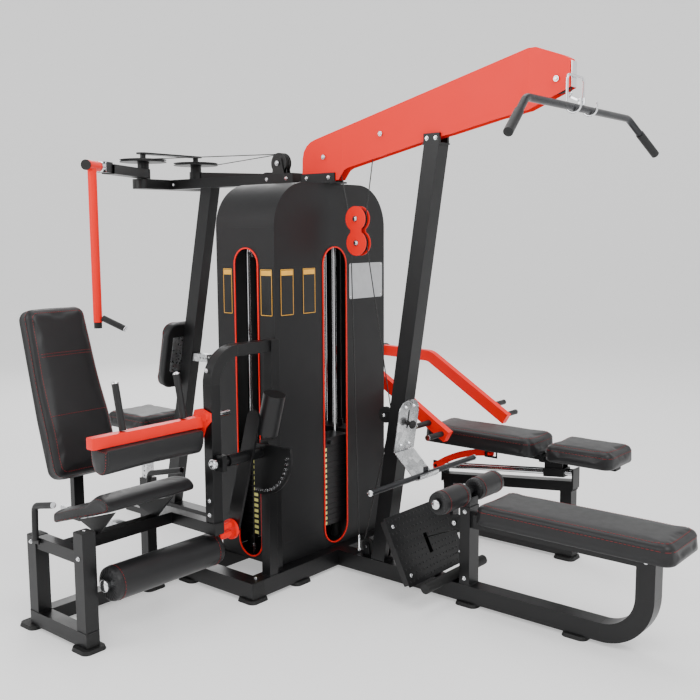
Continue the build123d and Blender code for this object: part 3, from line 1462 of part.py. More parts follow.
def press_link():
    """Curved red link between the rail bracket and the back lug."""
    (ax, az), (bx, bz) = LINK_A, LINK_B
    y = PRESS_Y
    rise = 26
    mid = ((ax + bx) / 2 - 6, (az + bz) / 2 + rise)
    with BuildPart() as made:
        with BuildSketch(Plane(origin=(0, y - 33.6, 0), x_dir=(1, 0, 0), z_dir=(0, -1, 0))):
            with BuildLine() as spine:
                ThreePointArc((ax, az), mid, (bx, bz))
            trace(line_width=34)
            with Locations((ax, az)):
                Circle(19)
            with Locations((bx, bz)):
                Circle(19)
            with Locations((ax, az)):
                Circle(8.0, mode=Mode.SUBTRACT)
        extrude(amount=8)
    pin = rod((bx, y - 41.7, bz), (bx, y - 58, bz), 8)
    return [made.part, pin]


save("press_link", press_link())


# ------------------------------------------------- cables inside the tower
def inner_cable(side):
    """Cable of the leg or press stack, from its head over the top sheave and down."""
    x, z = TOP_SHEAVE
    reach = groove(TOP_SHEAVE_R)
    run = cable([(x - reach, HEAD_TOP, 0, 0), (x, z, reach, -1), (x + reach, INNER_END, 0, 0)])
    return run.rotate(Axis.Z, 90 * side)


save("inner_cables", [inner_cable(-1), inner_cable(1)])


# ---------------------------------------------------------------- fasteners
def fasteners():
    """Bright bolt heads of the fixed frames, grouped as one node."""
    heads = []
    for s in (-1, 1):
        heads += [bolt_head((x, s * (BOOM_Y + 8.1), FLY_Z + 20), (0, s, 0)) for x in (55, 190)]
        ear = strut_x(1962)
        heads += [bolt_head((ear + x, s * 37.6, 1988), (0, s, 0)) for x in (-22, 22)]
        heads += [bolt_head((x, s * 40.1, FLY_Z + 25), (0, s, 0)) for x in (-70, -200, -900)]
    heads += [bolt_head((ARCH_X, -785.1, z), (0, -1, 0)) for z in (430, 490, 1040)]
    heads += [bolt_head((159.9, -415.5, z), (-1, 0, 0)) for z in (140, 1090)]
    heads += [bolt_head((x, LEG_Y0 - 30.1, 370), (0, -1, 0)) for x in (LEG_X0, LEG_X1)]
    leg_posts = ((LEG_X0, 395.1), (LEG_X1, LEG_POST_TOP + 0.1))
    heads += [bolt_head((x, LEG_Y0, z), (0, 0, 1)) for x, z in leg_posts]
    heads += [bolt_head((x, y, BEAM_TOP + 0.1), (0, 0, 1)) for x in (-200, 200) for y in (-550, 550)]
    heads += [bolt_head((LAT_POST_X, s * 37.6, z), (0, s, 0)) for s in (-1, 1) for z in (120, 415)]
    heads += [bolt_head((END_POST_X, s * 37.6, 375), (0, s, 0)) for s in (-1, 1)]
    heads += [bolt_head((x, PRESS_Y - 30.1, 110), (0, -1, 0)) for x in (337, 1020)]
    heads += [bolt_head((-360, 440 - 37.6, z), (0, -1, 0)) for z in (120, 930)]
    return heads


save("chrome_bolts", fasteners())
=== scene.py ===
"""Looks for the four-station multi gym: materials, upholstery, stitching, cables and small fittings."""
import json
import math

import bmesh
import bpy
from mathutils import Matrix, Vector
from mathutils.bvhtree import BVHTree


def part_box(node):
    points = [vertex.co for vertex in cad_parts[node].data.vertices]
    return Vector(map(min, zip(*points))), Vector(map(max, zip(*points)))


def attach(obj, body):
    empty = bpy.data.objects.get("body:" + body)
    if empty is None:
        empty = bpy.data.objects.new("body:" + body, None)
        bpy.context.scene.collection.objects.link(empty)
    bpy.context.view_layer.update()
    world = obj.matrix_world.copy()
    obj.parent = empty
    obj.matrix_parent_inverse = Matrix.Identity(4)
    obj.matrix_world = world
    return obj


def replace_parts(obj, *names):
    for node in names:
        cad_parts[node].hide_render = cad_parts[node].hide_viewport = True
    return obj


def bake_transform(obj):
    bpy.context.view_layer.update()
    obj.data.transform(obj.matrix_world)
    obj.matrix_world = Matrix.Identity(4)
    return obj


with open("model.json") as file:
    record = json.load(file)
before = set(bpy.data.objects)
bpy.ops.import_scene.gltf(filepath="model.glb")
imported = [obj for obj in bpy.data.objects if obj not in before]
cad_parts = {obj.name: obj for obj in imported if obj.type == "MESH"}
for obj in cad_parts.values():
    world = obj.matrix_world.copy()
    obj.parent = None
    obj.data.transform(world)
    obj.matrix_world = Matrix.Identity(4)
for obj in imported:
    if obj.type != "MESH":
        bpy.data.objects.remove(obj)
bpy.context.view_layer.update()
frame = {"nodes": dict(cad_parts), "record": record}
NODES = frame["nodes"]
BODY_OF = {n: b for b, ns in frame["record"]["behaviour"]["bodies"].items() for n in ns}
MM = 0.001
UP = Vector((0, 0, 1))
SIDES = (("left", -1), ("right", 1))


# ------------------------------------------------------------------ materials
def fill(node, values):
    """Set a node's unlinked inputs by name."""
    for name, value in values.items():
        node.inputs[name].default_value = value


class Shader:
    """Thin wrapper that builds one Principled material node by node."""

    def __init__(self, name, rough=0.5, metal=0.0, sheen=0.0):
        self.mat = bpy.data.materials.new(name)
        self.mat.use_nodes = True
        self.tree = self.mat.node_tree
        self.bsdf = self.tree.nodes["Principled BSDF"]
        fill(self.bsdf, {"Roughness": rough, "Metallic": metal, "Sheen Weight": sheen})
        self.coords = self.node("ShaderNodeTexCoord").outputs["Object"]
        self.normal = None

    def node(self, kind, inputs=None, **settings):
        made = self.tree.nodes.new(kind)
        for key, value in settings.items():
            setattr(made, key, value)
        fill(made, inputs or {})
        return made

    def link(self, a, b):
        self.tree.links.new(a, b)

    def noise(self, scale, detail=3.0, rough=0.55, stretch=None):
        coords = self.coords
        if stretch:
            mapping = self.node("ShaderNodeMapping", {"Scale": stretch})
            self.link(coords, mapping.inputs["Vector"])
            coords = mapping.outputs["Vector"]
        made = self.node("ShaderNodeTexNoise", {"Scale": scale, "Detail": detail, "Roughness": rough})
        self.link(coords, made.inputs["Vector"])
        return made.outputs["Fac"]

    def cells(self, scale, feature="F1", output="Distance"):
        made = self.node("ShaderNodeTexVoronoi", {"Scale": scale}, feature=feature)
        self.link(self.coords, made.inputs["Vector"])
        return made.outputs[output]

    def spread(self, value, low, high, start=0.0, end=1.0):
        made = self.node("ShaderNodeMapRange", {"From Min": start, "From Max": end,
                                                "To Min": low, "To Max": high})
        self.link(value, made.inputs["Value"])
        return made.outputs["Result"]

    def mix(self, factor, a, b):
        made = self.node("ShaderNodeMix", data_type="RGBA")
        self.link(factor, made.inputs["Factor"])
        for socket, colour in ((made.inputs["A"], a), (made.inputs["B"], b)):
            if isinstance(colour, tuple):
                socket.default_value = (*colour, 1)
            else:
                self.link(colour, socket)
        return made.outputs["Result"]

    def colour(self, value):
        if isinstance(value, tuple):
            self.bsdf.inputs["Base Color"].default_value = (*value, 1)
        else:
            self.link(value, self.bsdf.inputs["Base Color"])

    def roughness(self, value):
        self.link(value, self.bsdf.inputs["Roughness"])

    def bump(self, height, strength, distance):
        made = self.node("ShaderNodeBump", {"Strength": strength, "Distance": distance})
        self.link(height, made.inputs["Height"])
        if self.normal is not None:
            self.link(self.normal, made.inputs["Normal"])
        self.normal = made.outputs["Normal"]

    def bevel(self, radius):
        made = self.node("ShaderNodeBevel", {"Radius": radius}, samples=4)
        self.normal = made.outputs["Normal"]
        return self.normal

    def edge_wear_and_highlight(self, radius, low=0.90, high=0.995):
        """1 along convex and concave edges, 0 on flats: the mask of rubbed paint and of the painted
        edge highlight.
        """
        soft = self.bevel(radius)
        hard = self.node("ShaderNodeNewGeometry").outputs["Normal"]
        dot = self.node("ShaderNodeVectorMath", operation="DOT_PRODUCT")
        self.link(soft, dot.inputs[0])
        self.link(hard, dot.inputs[1])
        return self.spread(dot.outputs["Value"], 1.0, 0.0, low, high)

    def done(self):
        if self.normal is not None:
            self.link(self.normal, self.bsdf.inputs["Normal"])
        return self.mat


def coated(name, colour, worn_and_highlight, rough, peel, mottling=0.12, shine=0.4):
    """Powder-coated steel: fine orange peel, faint mottling, lighter at the edges: rubbed paint on the
    dark coats, a painted edge highlight on the red.
    """
    s = Shader(name, rough=rough)
    fill(s.bsdf, {"Specular IOR Level": shine})
    # edge mask: rubbed paint on the dark coats, a painted edge highlight on the red coat
    wear_and_highlight = s.edge_wear_and_highlight(1.6 * MM)
    dark = tuple(c * (1 - mottling) for c in colour)
    body = s.mix(s.noise(7.0, 4.0), dark, colour)
    speck = s.spread(s.noise(60.0, 5.0, 0.7), 0.0, 0.55, 0.35, 0.75)
    both = s.node("ShaderNodeMath", operation="MULTIPLY")
    s.link(wear_and_highlight, both.inputs[0])
    s.link(speck, both.inputs[1])
    # edges take the lighter edge colour: worn paint on the dark coats, painted highlight on the red
    # coat
    s.colour(s.mix(both.outputs["Value"], body, worn_and_highlight))
    s.roughness(s.spread(s.noise(11.0, 3.0), rough - 0.06, rough + 0.09))
    s.bump(s.noise(650.0, 2.0), peel, 0.35 * MM)
    return s.done()


def metal(name, colour, rough, stretch=None, scale=90.0, depth=0.03):
    """Bright metal with faint drawing marks and uneven polish."""
    s = Shader(name, rough=rough, metal=1.0)
    s.bevel(1.0 * MM)
    dark = tuple(c * 0.82 for c in colour)
    s.colour(s.mix(s.noise(24.0, 3.0), dark, colour))
    s.roughness(s.spread(s.noise(35.0, 4.0), max(0.03, rough - 0.05), rough + 0.10))
    s.bump(s.noise(scale, 3.0, 0.6, stretch), depth, 0.2 * MM)
    return s.done()


def zinc_coat():
    """Galvanised steel with its crystal spangle."""
    s = Shader("zinc_coat", rough=0.34, metal=0.95)
    s.bevel(1.0 * MM)
    cells = s.cells(95.0, output="Color")
    tone = s.spread(cells, 0.0, 1.0)
    s.colour(s.mix(tone, (0.40, 0.41, 0.42), (0.78, 0.79, 0.80)))
    s.roughness(s.spread(cells, 0.22, 0.46))
    s.bump(s.cells(95.0), 0.10, 0.3 * MM)
    return s.done()


def swirled_zinc():
    """Bright plate with overlapping round polishing marks."""
    s = Shader("swirled_zinc", rough=0.28, metal=1.0)
    s.bevel(1.0 * MM)
    rings = s.node("ShaderNodeMath", operation="SINE")
    s.link(s.spread(s.cells(38.0), 0.0, 42.0), rings.inputs[0])
    tone = s.spread(rings.outputs["Value"], 0.0, 1.0, -1.0, 1.0)
    patch = s.spread(s.cells(38.0, output="Color"), 0.0, 1.0)
    s.colour(s.mix(patch, (0.42, 0.43, 0.44), (0.86, 0.87, 0.88)))
    s.roughness(s.spread(tone, 0.16, 0.38))
    s.bump(tone, 0.12, 0.2 * MM)
    return s.done()


def leather(name, colour=(0.0055, 0.0055, 0.006)):
    """Grained vinyl with faint creases and a soft sheen."""
    s = Shader(name, rough=0.42, sheen=0.02)
    fill(s.bsdf, {"Specular IOR Level": 0.34})
    light = tuple(c * 2.1 for c in colour)
    s.colour(s.mix(s.noise(14.0, 5.0, 0.6), colour, light))
    s.roughness(s.spread(s.noise(28.0, 4.0), 0.34, 0.52))
    s.bump(s.noise(22.0, 4.0, 0.6), 0.10, 2.0 * MM)
    s.bump(s.cells(520.0, "DISTANCE_TO_EDGE"), 0.22, 0.25 * MM)
    return s.done()


def moulded(name, colour, rough=0.55, scale=800.0, depth=0.12):
    """Moulded rubber or nylon with a fine matte texture."""
    s = Shader(name, rough=rough)
    fill(s.bsdf, {"Specular IOR Level": 0.36})
    s.bevel(0.8 * MM)
    dust = tuple(min(1.0, c * 1.5 + 0.002) for c in colour)
    s.colour(s.mix(s.noise(18.0, 5.0, 0.65), colour, dust))
    s.roughness(s.spread(s.noise(40.0, 3.0), rough - 0.08, rough + 0.10))
    s.bump(s.noise(scale, 2.0), depth, 0.3 * MM)
    return s.done()


def wound(name, colour):
    """Nylon-coated wire rope: the strands show through as a fine twist."""
    s = Shader(name, rough=0.38)
    dark = tuple(c * 0.5 for c in colour)
    s.colour(s.mix(s.noise(60.0, 3.0), dark, colour))
    s.roughness(s.spread(s.noise(90.0, 3.0), 0.3, 0.5))
    s.bump(s.noise(500.0, 2.0, 0.5, (1, 1, 0.25)), 0.2, 0.4 * MM)
    return s.done()


MAT = {
    "black_frame": coated("black_coat", (0.0045, 0.0045, 0.005), (0.05, 0.05, 0.052), 0.34, 0.10,
                          shine=0.34),
    # the red coat's brighter edge colour is a painted edge highlight, not wear
    "red_frame": coated("red_coat", (0.93, 0.012, 0.007), (1.0, 0.10, 0.06), 0.34, 0.08,
                        mottling=0.05, shine=0.18),
    "grey_shroud": coated("shroud_coat", (0.0085, 0.0085, 0.0092), (0.03, 0.03, 0.032), 0.46, 0.30,
                          shine=0.30),
    "chrome": metal("chrome_plate", (0.86, 0.87, 0.89), 0.09),
    "zinc": zinc_coat(),
    "swirl": swirled_zinc(),
    "black_pad": leather("black_leather"),
    "black_rubber": moulded("black_rubber", (0.006, 0.006, 0.006), 0.62),
    "grip_rubber": moulded("grip_rubber", (0.006, 0.006, 0.0065), 0.48, 420.0, 0.25),
    "cable_black": wound("cable_jacket", (0.012, 0.012, 0.012)),
    "stack_steel": coated("plate_coat", (0.008, 0.008, 0.009), (0.10, 0.10, 0.10), 0.40, 0.15),
    "label_grey": moulded("label_film", (0.36, 0.37, 0.38), 0.34, 300.0, 0.03),
    "label_black": moulded("label_black", (0.006, 0.006, 0.006), 0.34, 300.0, 0.03),
    "label_amber": moulded("label_amber", (0.80, 0.36, 0.03), 0.34, 300.0, 0.03),
    "label_cream": moulded("label_cream", (0.70, 0.66, 0.22), 0.40, 300.0, 0.03),
    "pulley_black": moulded("pulley_nylon", (0.007, 0.007, 0.007), 0.38, 500.0, 0.06),
    "bar_steel": metal("bar_steel", (0.055, 0.056, 0.060), 0.27, (1, 0.2, 1), 400.0, 0.05),
    "red_thread": moulded("red_thread", (0.22, 0.008, 0.010), 0.6, 900.0, 0.2),
}


def coat(node, key):
    """Give a CAD node one finish in all its slots."""
    ob = NODES[node]
    ob.data.materials.clear()
    ob.data.materials.append(MAT[key])
    for face in ob.data.polygons:
        face.material_index = 0


def touch_up(node, key, test):
    """Second finish on those faces of a CAD node whose centre passes the test."""
    ob = NODES[node]
    ob.data.materials.append(MAT[key])
    index = len(ob.data.materials) - 1
    for face in ob.data.polygons:
        if test(face.center):
            face.material_index = index


FINISH = {entry["node"]: entry["material_slot"] for entry in frame["record"]["subparts"]}
for NODE, KEY in FINISH.items():
    coat(NODE, KEY)


# ------------------------------------------------------------- mesh machinery
def mesh_object(name, verts, faces, material, body):
    """New object from vertices and faces that rides on a CAD body."""
    mesh = bpy.data.meshes.new(name)
    mesh.from_pydata([tuple(v) for v in verts], [], faces)
    mesh.update()
    work = bmesh.new()
    work.from_mesh(mesh)
    bmesh.ops.recalc_face_normals(work, faces=work.faces)
    work.to_mesh(mesh)
    work.free()
    mesh.shade_smooth()
    ob = bpy.data.objects.new(name, mesh)
    bpy.context.scene.collection.objects.link(ob)
    mesh.materials.append(MAT[material])
    if body:
        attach(ob, body)
    return ob


class Shape:
    """Collects vertices and faces of many small forms for one object."""

    def __init__(self):
        self.verts = []
        self.faces = []

    def rings(self, rings, closed_ends=True):
        """Skin consecutive rings with the same number of points."""
        base = len(self.verts)
        count = len(rings[0])
        for ring in rings:
            self.verts.extend(ring)
        for i in range(len(rings) - 1):
            for j in range(count):
                a = base + i * count + j
                b = base + i * count + (j + 1) % count
                self.faces.append((a, b, b + count, a + count))
        if closed_ends:
            self.faces.append(tuple(base + j for j in range(count))[::-1])
            last = base + (len(rings) - 1) * count
            self.faces.append(tuple(last + j for j in range(count)))

    def lathe(self, place, axis, profile, count=24):
        """Turned form from (distance along axis, radius) pairs in millimetres."""
        axis = Vector(axis).normalized()
        side = axis.orthogonal().normalized()
        other = axis.cross(side)
        rings = []
        for along, radius in profile:
            centre = Vector(place) + axis * along * MM
            rings.append([centre + (side * math.cos(a) + other * math.sin(a)) * radius * MM
                          for a in turns(count)])
        self.rings(rings)

    def tube(self, points, radius, count=8, closed=False):
        """Round tube along points."""
        pts = [Vector(p) for p in points]
        rings = []
        side = None
        for i, p in enumerate(pts):
            before = pts[i - 1] if (i or closed) else p
            after = pts[(i + 1) % len(pts)] if (i + 1 < len(pts) or closed) else p
            axis = (after - before).normalized()
            if side is None:
                side = axis.orthogonal().normalized()
            side = (side - axis * side.dot(axis)).normalized()
            other = axis.cross(side)
            rings.append([p + (side * math.cos(a) + other * math.sin(a)) * radius
                          for a in turns(count)])
        if closed:
            rings.append(rings[0])
        self.rings(rings, closed_ends=not closed)

    def plate(self, centre, ex, ey, wide, tall, corner, thick, bulge=0.0):
        """Rounded rectangle standing `thick` proud of its plane, with a soft rim."""
        ez = Vector(ex).cross(Vector(ey)).normalized()
        rim = min(thick * 0.45, corner * 0.4)
        steps = ((0.0, 0.0), (0.0, thick - rim), (rim * 0.35, thick - rim * 0.3), (rim, thick),
                 (corner * 0.8, thick + bulge))
        rings = []
        for inset, height in steps:
            ring = rounded_rect(wide - 2 * inset, tall - 2 * inset, max(corner - inset, corner * 0.15))
            rings.append([Vector(centre) + Vector(ex) * u + Vector(ey) * v + ez * height
                          for u, v in ring])
        self.rings(rings)

    def make(self, name, material, body):
        return mesh_object(name, self.verts, self.faces, material, body)

    def put(self, name, material, body, slot=None):
        """Make the object; slot, the record's slot if not its material's, is not used."""
        made = self.make(name, material, body)
        return made


def turns(count, start=0.0, sweep=2 * math.pi):
    """Evenly spaced angles, without the last one."""
    return [start + sweep * k / count for k in range(count)]


def rounded_rect(wide, tall, corner, steps=5):
    """Outline points of a rounded rectangle round the origin."""
    out = []
    for sx, sy, start in ((1, 1, 0), (-1, 1, 90), (-1, -1, 180), (1, -1, 270)):
        cx, cy = sx * (wide / 2 - corner), sy * (tall / 2 - corner)
        for k in range(steps + 1):
            turn = math.radians(start + 90 * k / steps)
            out.append((cx + corner * math.cos(turn), cy + corner * math.sin(turn)))
    return out


# -------------------------------------------------------------- upholstery
SIM_FRAMES = 20
SWELL_ROOM = 3.5 * MM     # how much slimmer a pad starts when it is simulated
PLAIN_ROOM = 1.0 * MM     # and when it isn't
VOXEL = 7 * MM
BOARD = 14 * MM           # depth of the board that holds the cover
CROWN = 3.5 * MM
SWELL_CAP = 5.5 * MM      # most that a point may move in the simulation
RIDGE = 1.3 * MM          # radius of a raised seam
CLOTH = {
    "quality": 5, "mass": 0.3, "tension_stiffness": 18, "compression_stiffness": 18,
    "shear_stiffness": 6, "bending_stiffness": 1.5, "use_pressure": True,
    "uniform_pressure_force": 4.0, "vertex_group_mass": "board",
}


class Pad:
    """One upholstered pad in its own frame: u long, v across, w thick."""

    def __init__(self, node, centre, eu, ev, long, wide, thick, corner, nose=22 * MM, shape=None):
        self.node = node
        self.eu = Vector(eu).normalized()
        self.ev = Vector(ev).normalized()
        self.ew = self.eu.cross(self.ev).normalized()
        self.centre = Vector(centre)
        self.long, self.wide, self.thick = long, wide, thick
        self.corner, self.nose = corner, nose
        self.shape = shape or (lambda u, v, w: (u, v, w))

    def place(self, u, v, w):
        u, v, w = self.shape(u, v, w)
        return self.centre + self.eu * u + self.ev * v + self.ew * w

    def blank(self, slim):
        """Closed rounded form, a little slimmer than the finished pad."""
        long, wide = self.long - 2 * slim, self.wide - 2 * slim
        half = self.thick / 2
        top = half - slim
        under = 9 * MM
        quarter = math.pi / 2
        rings = [(under * (1 - math.sin(a)), -half + under * (1 - math.cos(a)))
                 for a in [quarter * k / 4 for k in range(5)]]
        rings += [(self.nose * (1 - math.cos(a)), top - self.nose * (1 - math.sin(a)))
                  for a in [quarter * k / 7 for k in range(8)]]
        rows = []
        for inset, w in rings:
            outline = rounded_rect(long - 2 * inset, wide - 2 * inset,
                                   max(self.corner - inset, 3 * MM), 6)
            rows.append([Vector((u, v, w)) for u, v in outline])
        made = Shape()
        made.rings(rows)
        return made

    def build(self, sim):
        slim = SWELL_ROOM if sim else PLAIN_ROOM
        flat = self.blank(slim)
        self.ob = mesh_object(f"{self.node}_cover", flat.verts, flat.faces, "black_pad", None)
        remesh = self.ob.modifiers.new("remesh", "REMESH")
        remesh.mode = "VOXEL"
        remesh.voxel_size = VOXEL
        freeze(self.ob)
        group = self.ob.vertex_groups.new(name="board")
        for vert in self.ob.data.vertices:
            if self.board(vert.co):
                group.add([vert.index], 1.0, "REPLACE")
        for vert in self.ob.data.vertices:
            u, v, w = vert.co
            vert.co = self.place(u, v, self.crown(u, v, w))
        if sim:
            cloth = self.ob.modifiers.new("cloth", "CLOTH")
            for key, value in CLOTH.items():
                setattr(cloth.settings, key, value)
            cloth.settings.effector_weights.gravity = 0.0
            cloth.collision_settings.use_collision = False
            cloth.point_cache.frame_start = 1
            cloth.point_cache.frame_end = SIM_FRAMES

    def board(self, vert):
        """True near the back board, where the cover is stapled down."""
        return vert.z < -self.thick / 2 + BOARD

    def crown(self, u, v, w):
        """Slight doming of the upper face."""
        if w <= 0:
            return w
        a, b = 2 * u / self.long, 2 * v / self.wide
        return w + CROWN * (1 - a * a) * (1 - b * b)

    def finish(self, sim):
        if sim:
            before = [vert.co.copy() for vert in self.ob.data.vertices]
            deps = bpy.context.evaluated_depsgraph_get()
            puffed = self.ob.evaluated_get(deps).data
            after = [vert.co.copy() for vert in puffed.vertices]
            self.ob.modifiers.clear()
            for vert, a, b in zip(self.ob.data.vertices, before, after):
                move = b - a
                if move.length > SWELL_CAP:
                    move *= SWELL_CAP / move.length
                vert.co = a + move
        soften = self.ob.modifiers.new("soften", "SMOOTH")
        soften.factor = 0.5
        soften.iterations = 3
        subdivide = self.ob.modifiers.new("subdivide", "SUBSURF")
        subdivide.levels = subdivide.render_levels = 1
        freeze(self.ob)
        self.ob.data.shade_smooth()
        self.tree = BVHTree.FromPolygons([v.co for v in self.ob.data.vertices],
                                         [p.vertices[:] for p in self.ob.data.polygons])
        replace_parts(self.ob, self.node)
        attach(self.ob, BODY_OF[self.node])

    def top_point(self, u, v, lift):
        start = self.place(u, v, self.thick)
        return lifted(self.tree.ray_cast(start, -self.ew, self.thick * 2), lift)

    def side_point(self, u, v, w, lift):
        start = self.place(u * 1.25, v * 1.25, w)
        aim = (self.place(u * 0.6, v * 0.6, w) - start).normalized()
        return lifted(self.tree.ray_cast(start, aim, self.long), lift)

    def outline(self, inset, corner):
        return rounded_rect(self.long - 2 * inset, self.wide - 2 * inset, corner, 6)

    def trim(self, lines):
        """Dashed thread on the top along each (u, v) line, and a ridge seam at the rim."""
        thread = Shape()
        for line, closed in lines:
            pts = [self.top_point(u, v, 0.5 * MM) for u, v in refine(line, 4 * MM, closed)]
            dashes(thread, pts, closed)
        rim = self.thick / 2 - self.nose * 0.95
        ring = refine(self.outline(0, self.corner), 6 * MM, True)
        dashes(thread, [self.side_point(u, v, rim - 6 * MM, 0.4 * MM) for u, v in ring], True)
        pts = [self.side_point(u, v, rim - 2 * MM, 0.2 * MM) for u, v in ring]
        seam = Shape()
        if None not in pts:
            seam.tube(pts, RIDGE, 6, closed=True)
        self.sew(seam, "seam", "black_pad")
        self.sew(thread, "thread", "red_thread")

    def sew(self, shape, name, material):
        """Make an object of the seam or thread, if there is any."""
        if shape.verts:
            shape.put(f"{self.node}_{name}", material, BODY_OF[self.node], "black_pad")


def lifted(hit, lift):
    """Point a little proud of where a ray struck, or None where it missed."""
    return None if hit[0] is None else hit[0] + hit[1] * lift


def freeze(ob):
    """Apply every modifier of an object to its mesh."""
    deps = bpy.context.evaluated_depsgraph_get()
    deps.update()
    mesh = bpy.data.meshes.new_from_object(ob.evaluated_get(deps))
    ob.modifiers.clear()
    old = ob.data
    ob.data = mesh
    if not mesh.materials:
        for m in old.materials:
            mesh.materials.append(m)


def refine(line, step, closed):
    """Even points along a polyline of (u, v) pairs."""
    pts = list(line) + ([line[0]] if closed else [])
    out = []
    for (x0, y0), (x1, y1) in zip(pts, pts[1:]):
        count = max(1, int(math.hypot(x1 - x0, y1 - y0) / step))
        out.extend((x0 + (x1 - x0) * k / count, y0 + (y1 - y0) * k / count) for k in range(count))
    if not closed:
        out.append(pts[-1])
    return out


def dashes(shape, pts, closed, run=2, skip=1, radius=0.9 * MM):
    """Short stitches laid along surface points."""
    count = len(pts)
    i = 0
    while i + run < count + (1 if closed else 0):
        part = [pts[(i + k) % count] for k in range(run + 1)]
        if None not in part and (part[-1] - part[0]).length > 1 * MM:
            shape.tube(part, radius, 4)
        i += run + skip


def node_pad(node, corner, nose=22 * MM, turn=False):
    """Level pad that fills its CAD node's box; turn puts its length along Y."""
    low, high = (Vector(c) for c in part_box(node))
    centre = (low + high) / 2
    size = high - low
    if turn:
        return Pad(node, centre, (0, 1, 0), (-1, 0, 0), size.y, size.x, size.z, corner, nose)
    return Pad(node, centre, (1, 0, 0), (0, 1, 0), size.x, size.y, size.z, corner, nose)


def back_shape(u, v, w):
    """Backrest outline: narrower at the head, fuller at the small of the back."""
    t = u / 0.73 + 0.5
    v *= 1.0 - 0.10 * max(0.0, t - 0.35) / 0.65
    if w > 0:
        w += 7 * MM * math.exp(-((t - 0.26) / 0.16) ** 2) - 6 * MM * math.exp(-((t - 0.60) / 0.2) ** 2)
    return u, v, w


def smooth_loop(points, steps=5):
    """Closed Catmull-Rom curve through the points, evenly stepped between them."""
    out = []
    count = len(points)
    for i in range(count):
        p0, p1, p2, p3 = (Vector(points[(i + k) % count]) for k in (-1, 0, 1, 2))
        for k in range(steps):
            s = k / steps
            out.append(0.5 * (2 * p1 + (p2 - p0) * s + (2 * p0 - 5 * p1 + 4 * p2 - p3) * s * s
                              + (3 * p1 - p0 - 3 * p2 + p3) * s ** 3))
    return out


def outward(loop):
    """Unit normals of a closed (x, z) loop, pointing away from its inside."""
    area = sum(a.x * b.y - b.x * a.y for a, b in zip(loop, loop[1:] + loop[:1]))
    hand = 1 if area > 0 else -1
    normals = []
    for i in range(len(loop)):
        along = (loop[(i + 1) % len(loop)] - loop[i - 1]).normalized()
        normals.append(Vector((along.y, -along.x)) * hand)
    return normals


class ProfilePad(Pad):
    """Pad with one (x, z) cross-section all along Y; `pinned` says where its board is."""

    def __init__(self, node, loop, pinned, soft=14 * MM):
        low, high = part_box(node)
        super().__init__(node, (0, 0, 0), (1, 0, 0), (0, 1, 0), 1.0, high.y - low.y, 1.0, 10 * MM)
        self.y0, self.y1 = low.y, high.y
        self.loop = smooth_loop([(x * MM, z * MM) for x, z in loop])
        self.pinned = pinned
        self.soft = soft

    def blank(self, slim):
        normals = outward(self.loop)
        rows = []
        spots = [(self.soft * (1 - math.sin(a)), self.soft * (1 - math.cos(a)))
                 for a in [math.pi / 2 * k / 5 for k in range(6)]]
        for inset, along in spots[::1]:
            rows.append((inset, self.y0 + slim + along))
        steps = 12
        for k in range(1, steps):
            rows.append((0.0, self.y0 + self.soft + (self.y1 - self.y0 - 2 * self.soft) * k / steps))
        for inset, along in spots[::-1]:
            rows.append((inset, self.y1 - slim - along))
        made = Shape()
        made.rings([[Vector((p.x - n.x * (inset + slim), y, p.y - n.y * (inset + slim)))
                     for p, n in zip(self.loop, normals)] for inset, y in rows])
        return made

    def board(self, vert):
        return self.pinned(vert.x, vert.z)

    def crown(self, u, v, w):
        return w

    def end_trim(self):
        """Thread round both end panels and a raised seam round the cover near each end."""
        thread, seam = Shape(), Shape()
        normals = outward(self.loop)
        for y, way in ((self.y0, 1), (self.y1, -1)):
            pts = []
            for p, n in zip(self.loop, normals):
                start = Vector((p.x - n.x * 11 * MM, y - way * 0.05, p.y - n.y * 11 * MM))
                pts.append(lifted(self.tree.ray_cast(start, Vector((0, way, 0)), 0.2), 0.4 * MM))
            dashes(thread, pts, True, 1, 1)
            pts = []
            for p, n in zip(self.loop, normals):
                start = Vector((p.x + n.x * 0.03, y + way * 13 * MM, p.y + n.y * 0.03))
                pts.append(self.tree.ray_cast(start, Vector((-n.x, 0, -n.y)), 0.1)[0])
            if None not in pts:
                seam.tube(pts, RIDGE, 6, closed=True)
        self.sew(thread, "thread", "red_thread")
        self.sew(seam, "seam", "black_pad")


SEAT_LOOP = ((-279, 460), (-268, 469), (-240, 477), (-180, 497), (-120, 517), (-76, 531), (-46, 543),
             (-22, 561), (12, 580), (52, 588), (88, 583), (110, 566), (115, 546), (102, 530), (70, 519),
             (20, 503), (-60, 479), (-150, 452), (-220, 431), (-262, 419), (-277, 436))
THIGH_LOOP = ((86, 801), (110, 803), (140, 803), (170, 803), (194, 801), (196, 786), (195, 755),
              (188, 726), (170, 702), (140, 694), (110, 702), (92, 726), (85, 755), (84, 786))
BACK_LOW, BACK_HIGH = Vector((-0.3742, 0, 0.558)), Vector((-0.5942, 0, 1.278))
FLY_LOW, FLY_HIGH = Vector((-0.9748, 0, 0.7605)), Vector((-0.8977, 0, 1.1225))


def on_seat_base(x, z):
    """True along the sloping underside of the leg seat."""
    return z < 0.431 + (x + 0.262) * 0.304


def on_thigh_top(x, z):
    return z > 0.790


def leaned(node, low, high, thick, front, corner, nose, shape=None):
    """Backrest along the line low-high; front is +1 when it faces +X, -1 for -X."""
    y0, y1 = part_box(node)[0][1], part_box(node)[1][1]
    centre = (low + high) / 2
    centre.y = (y0 + y1) / 2
    return Pad(node, centre, high - low, (0, -front, 0), (high - low).length, y1 - y0, thick,
               corner, nose, shape)


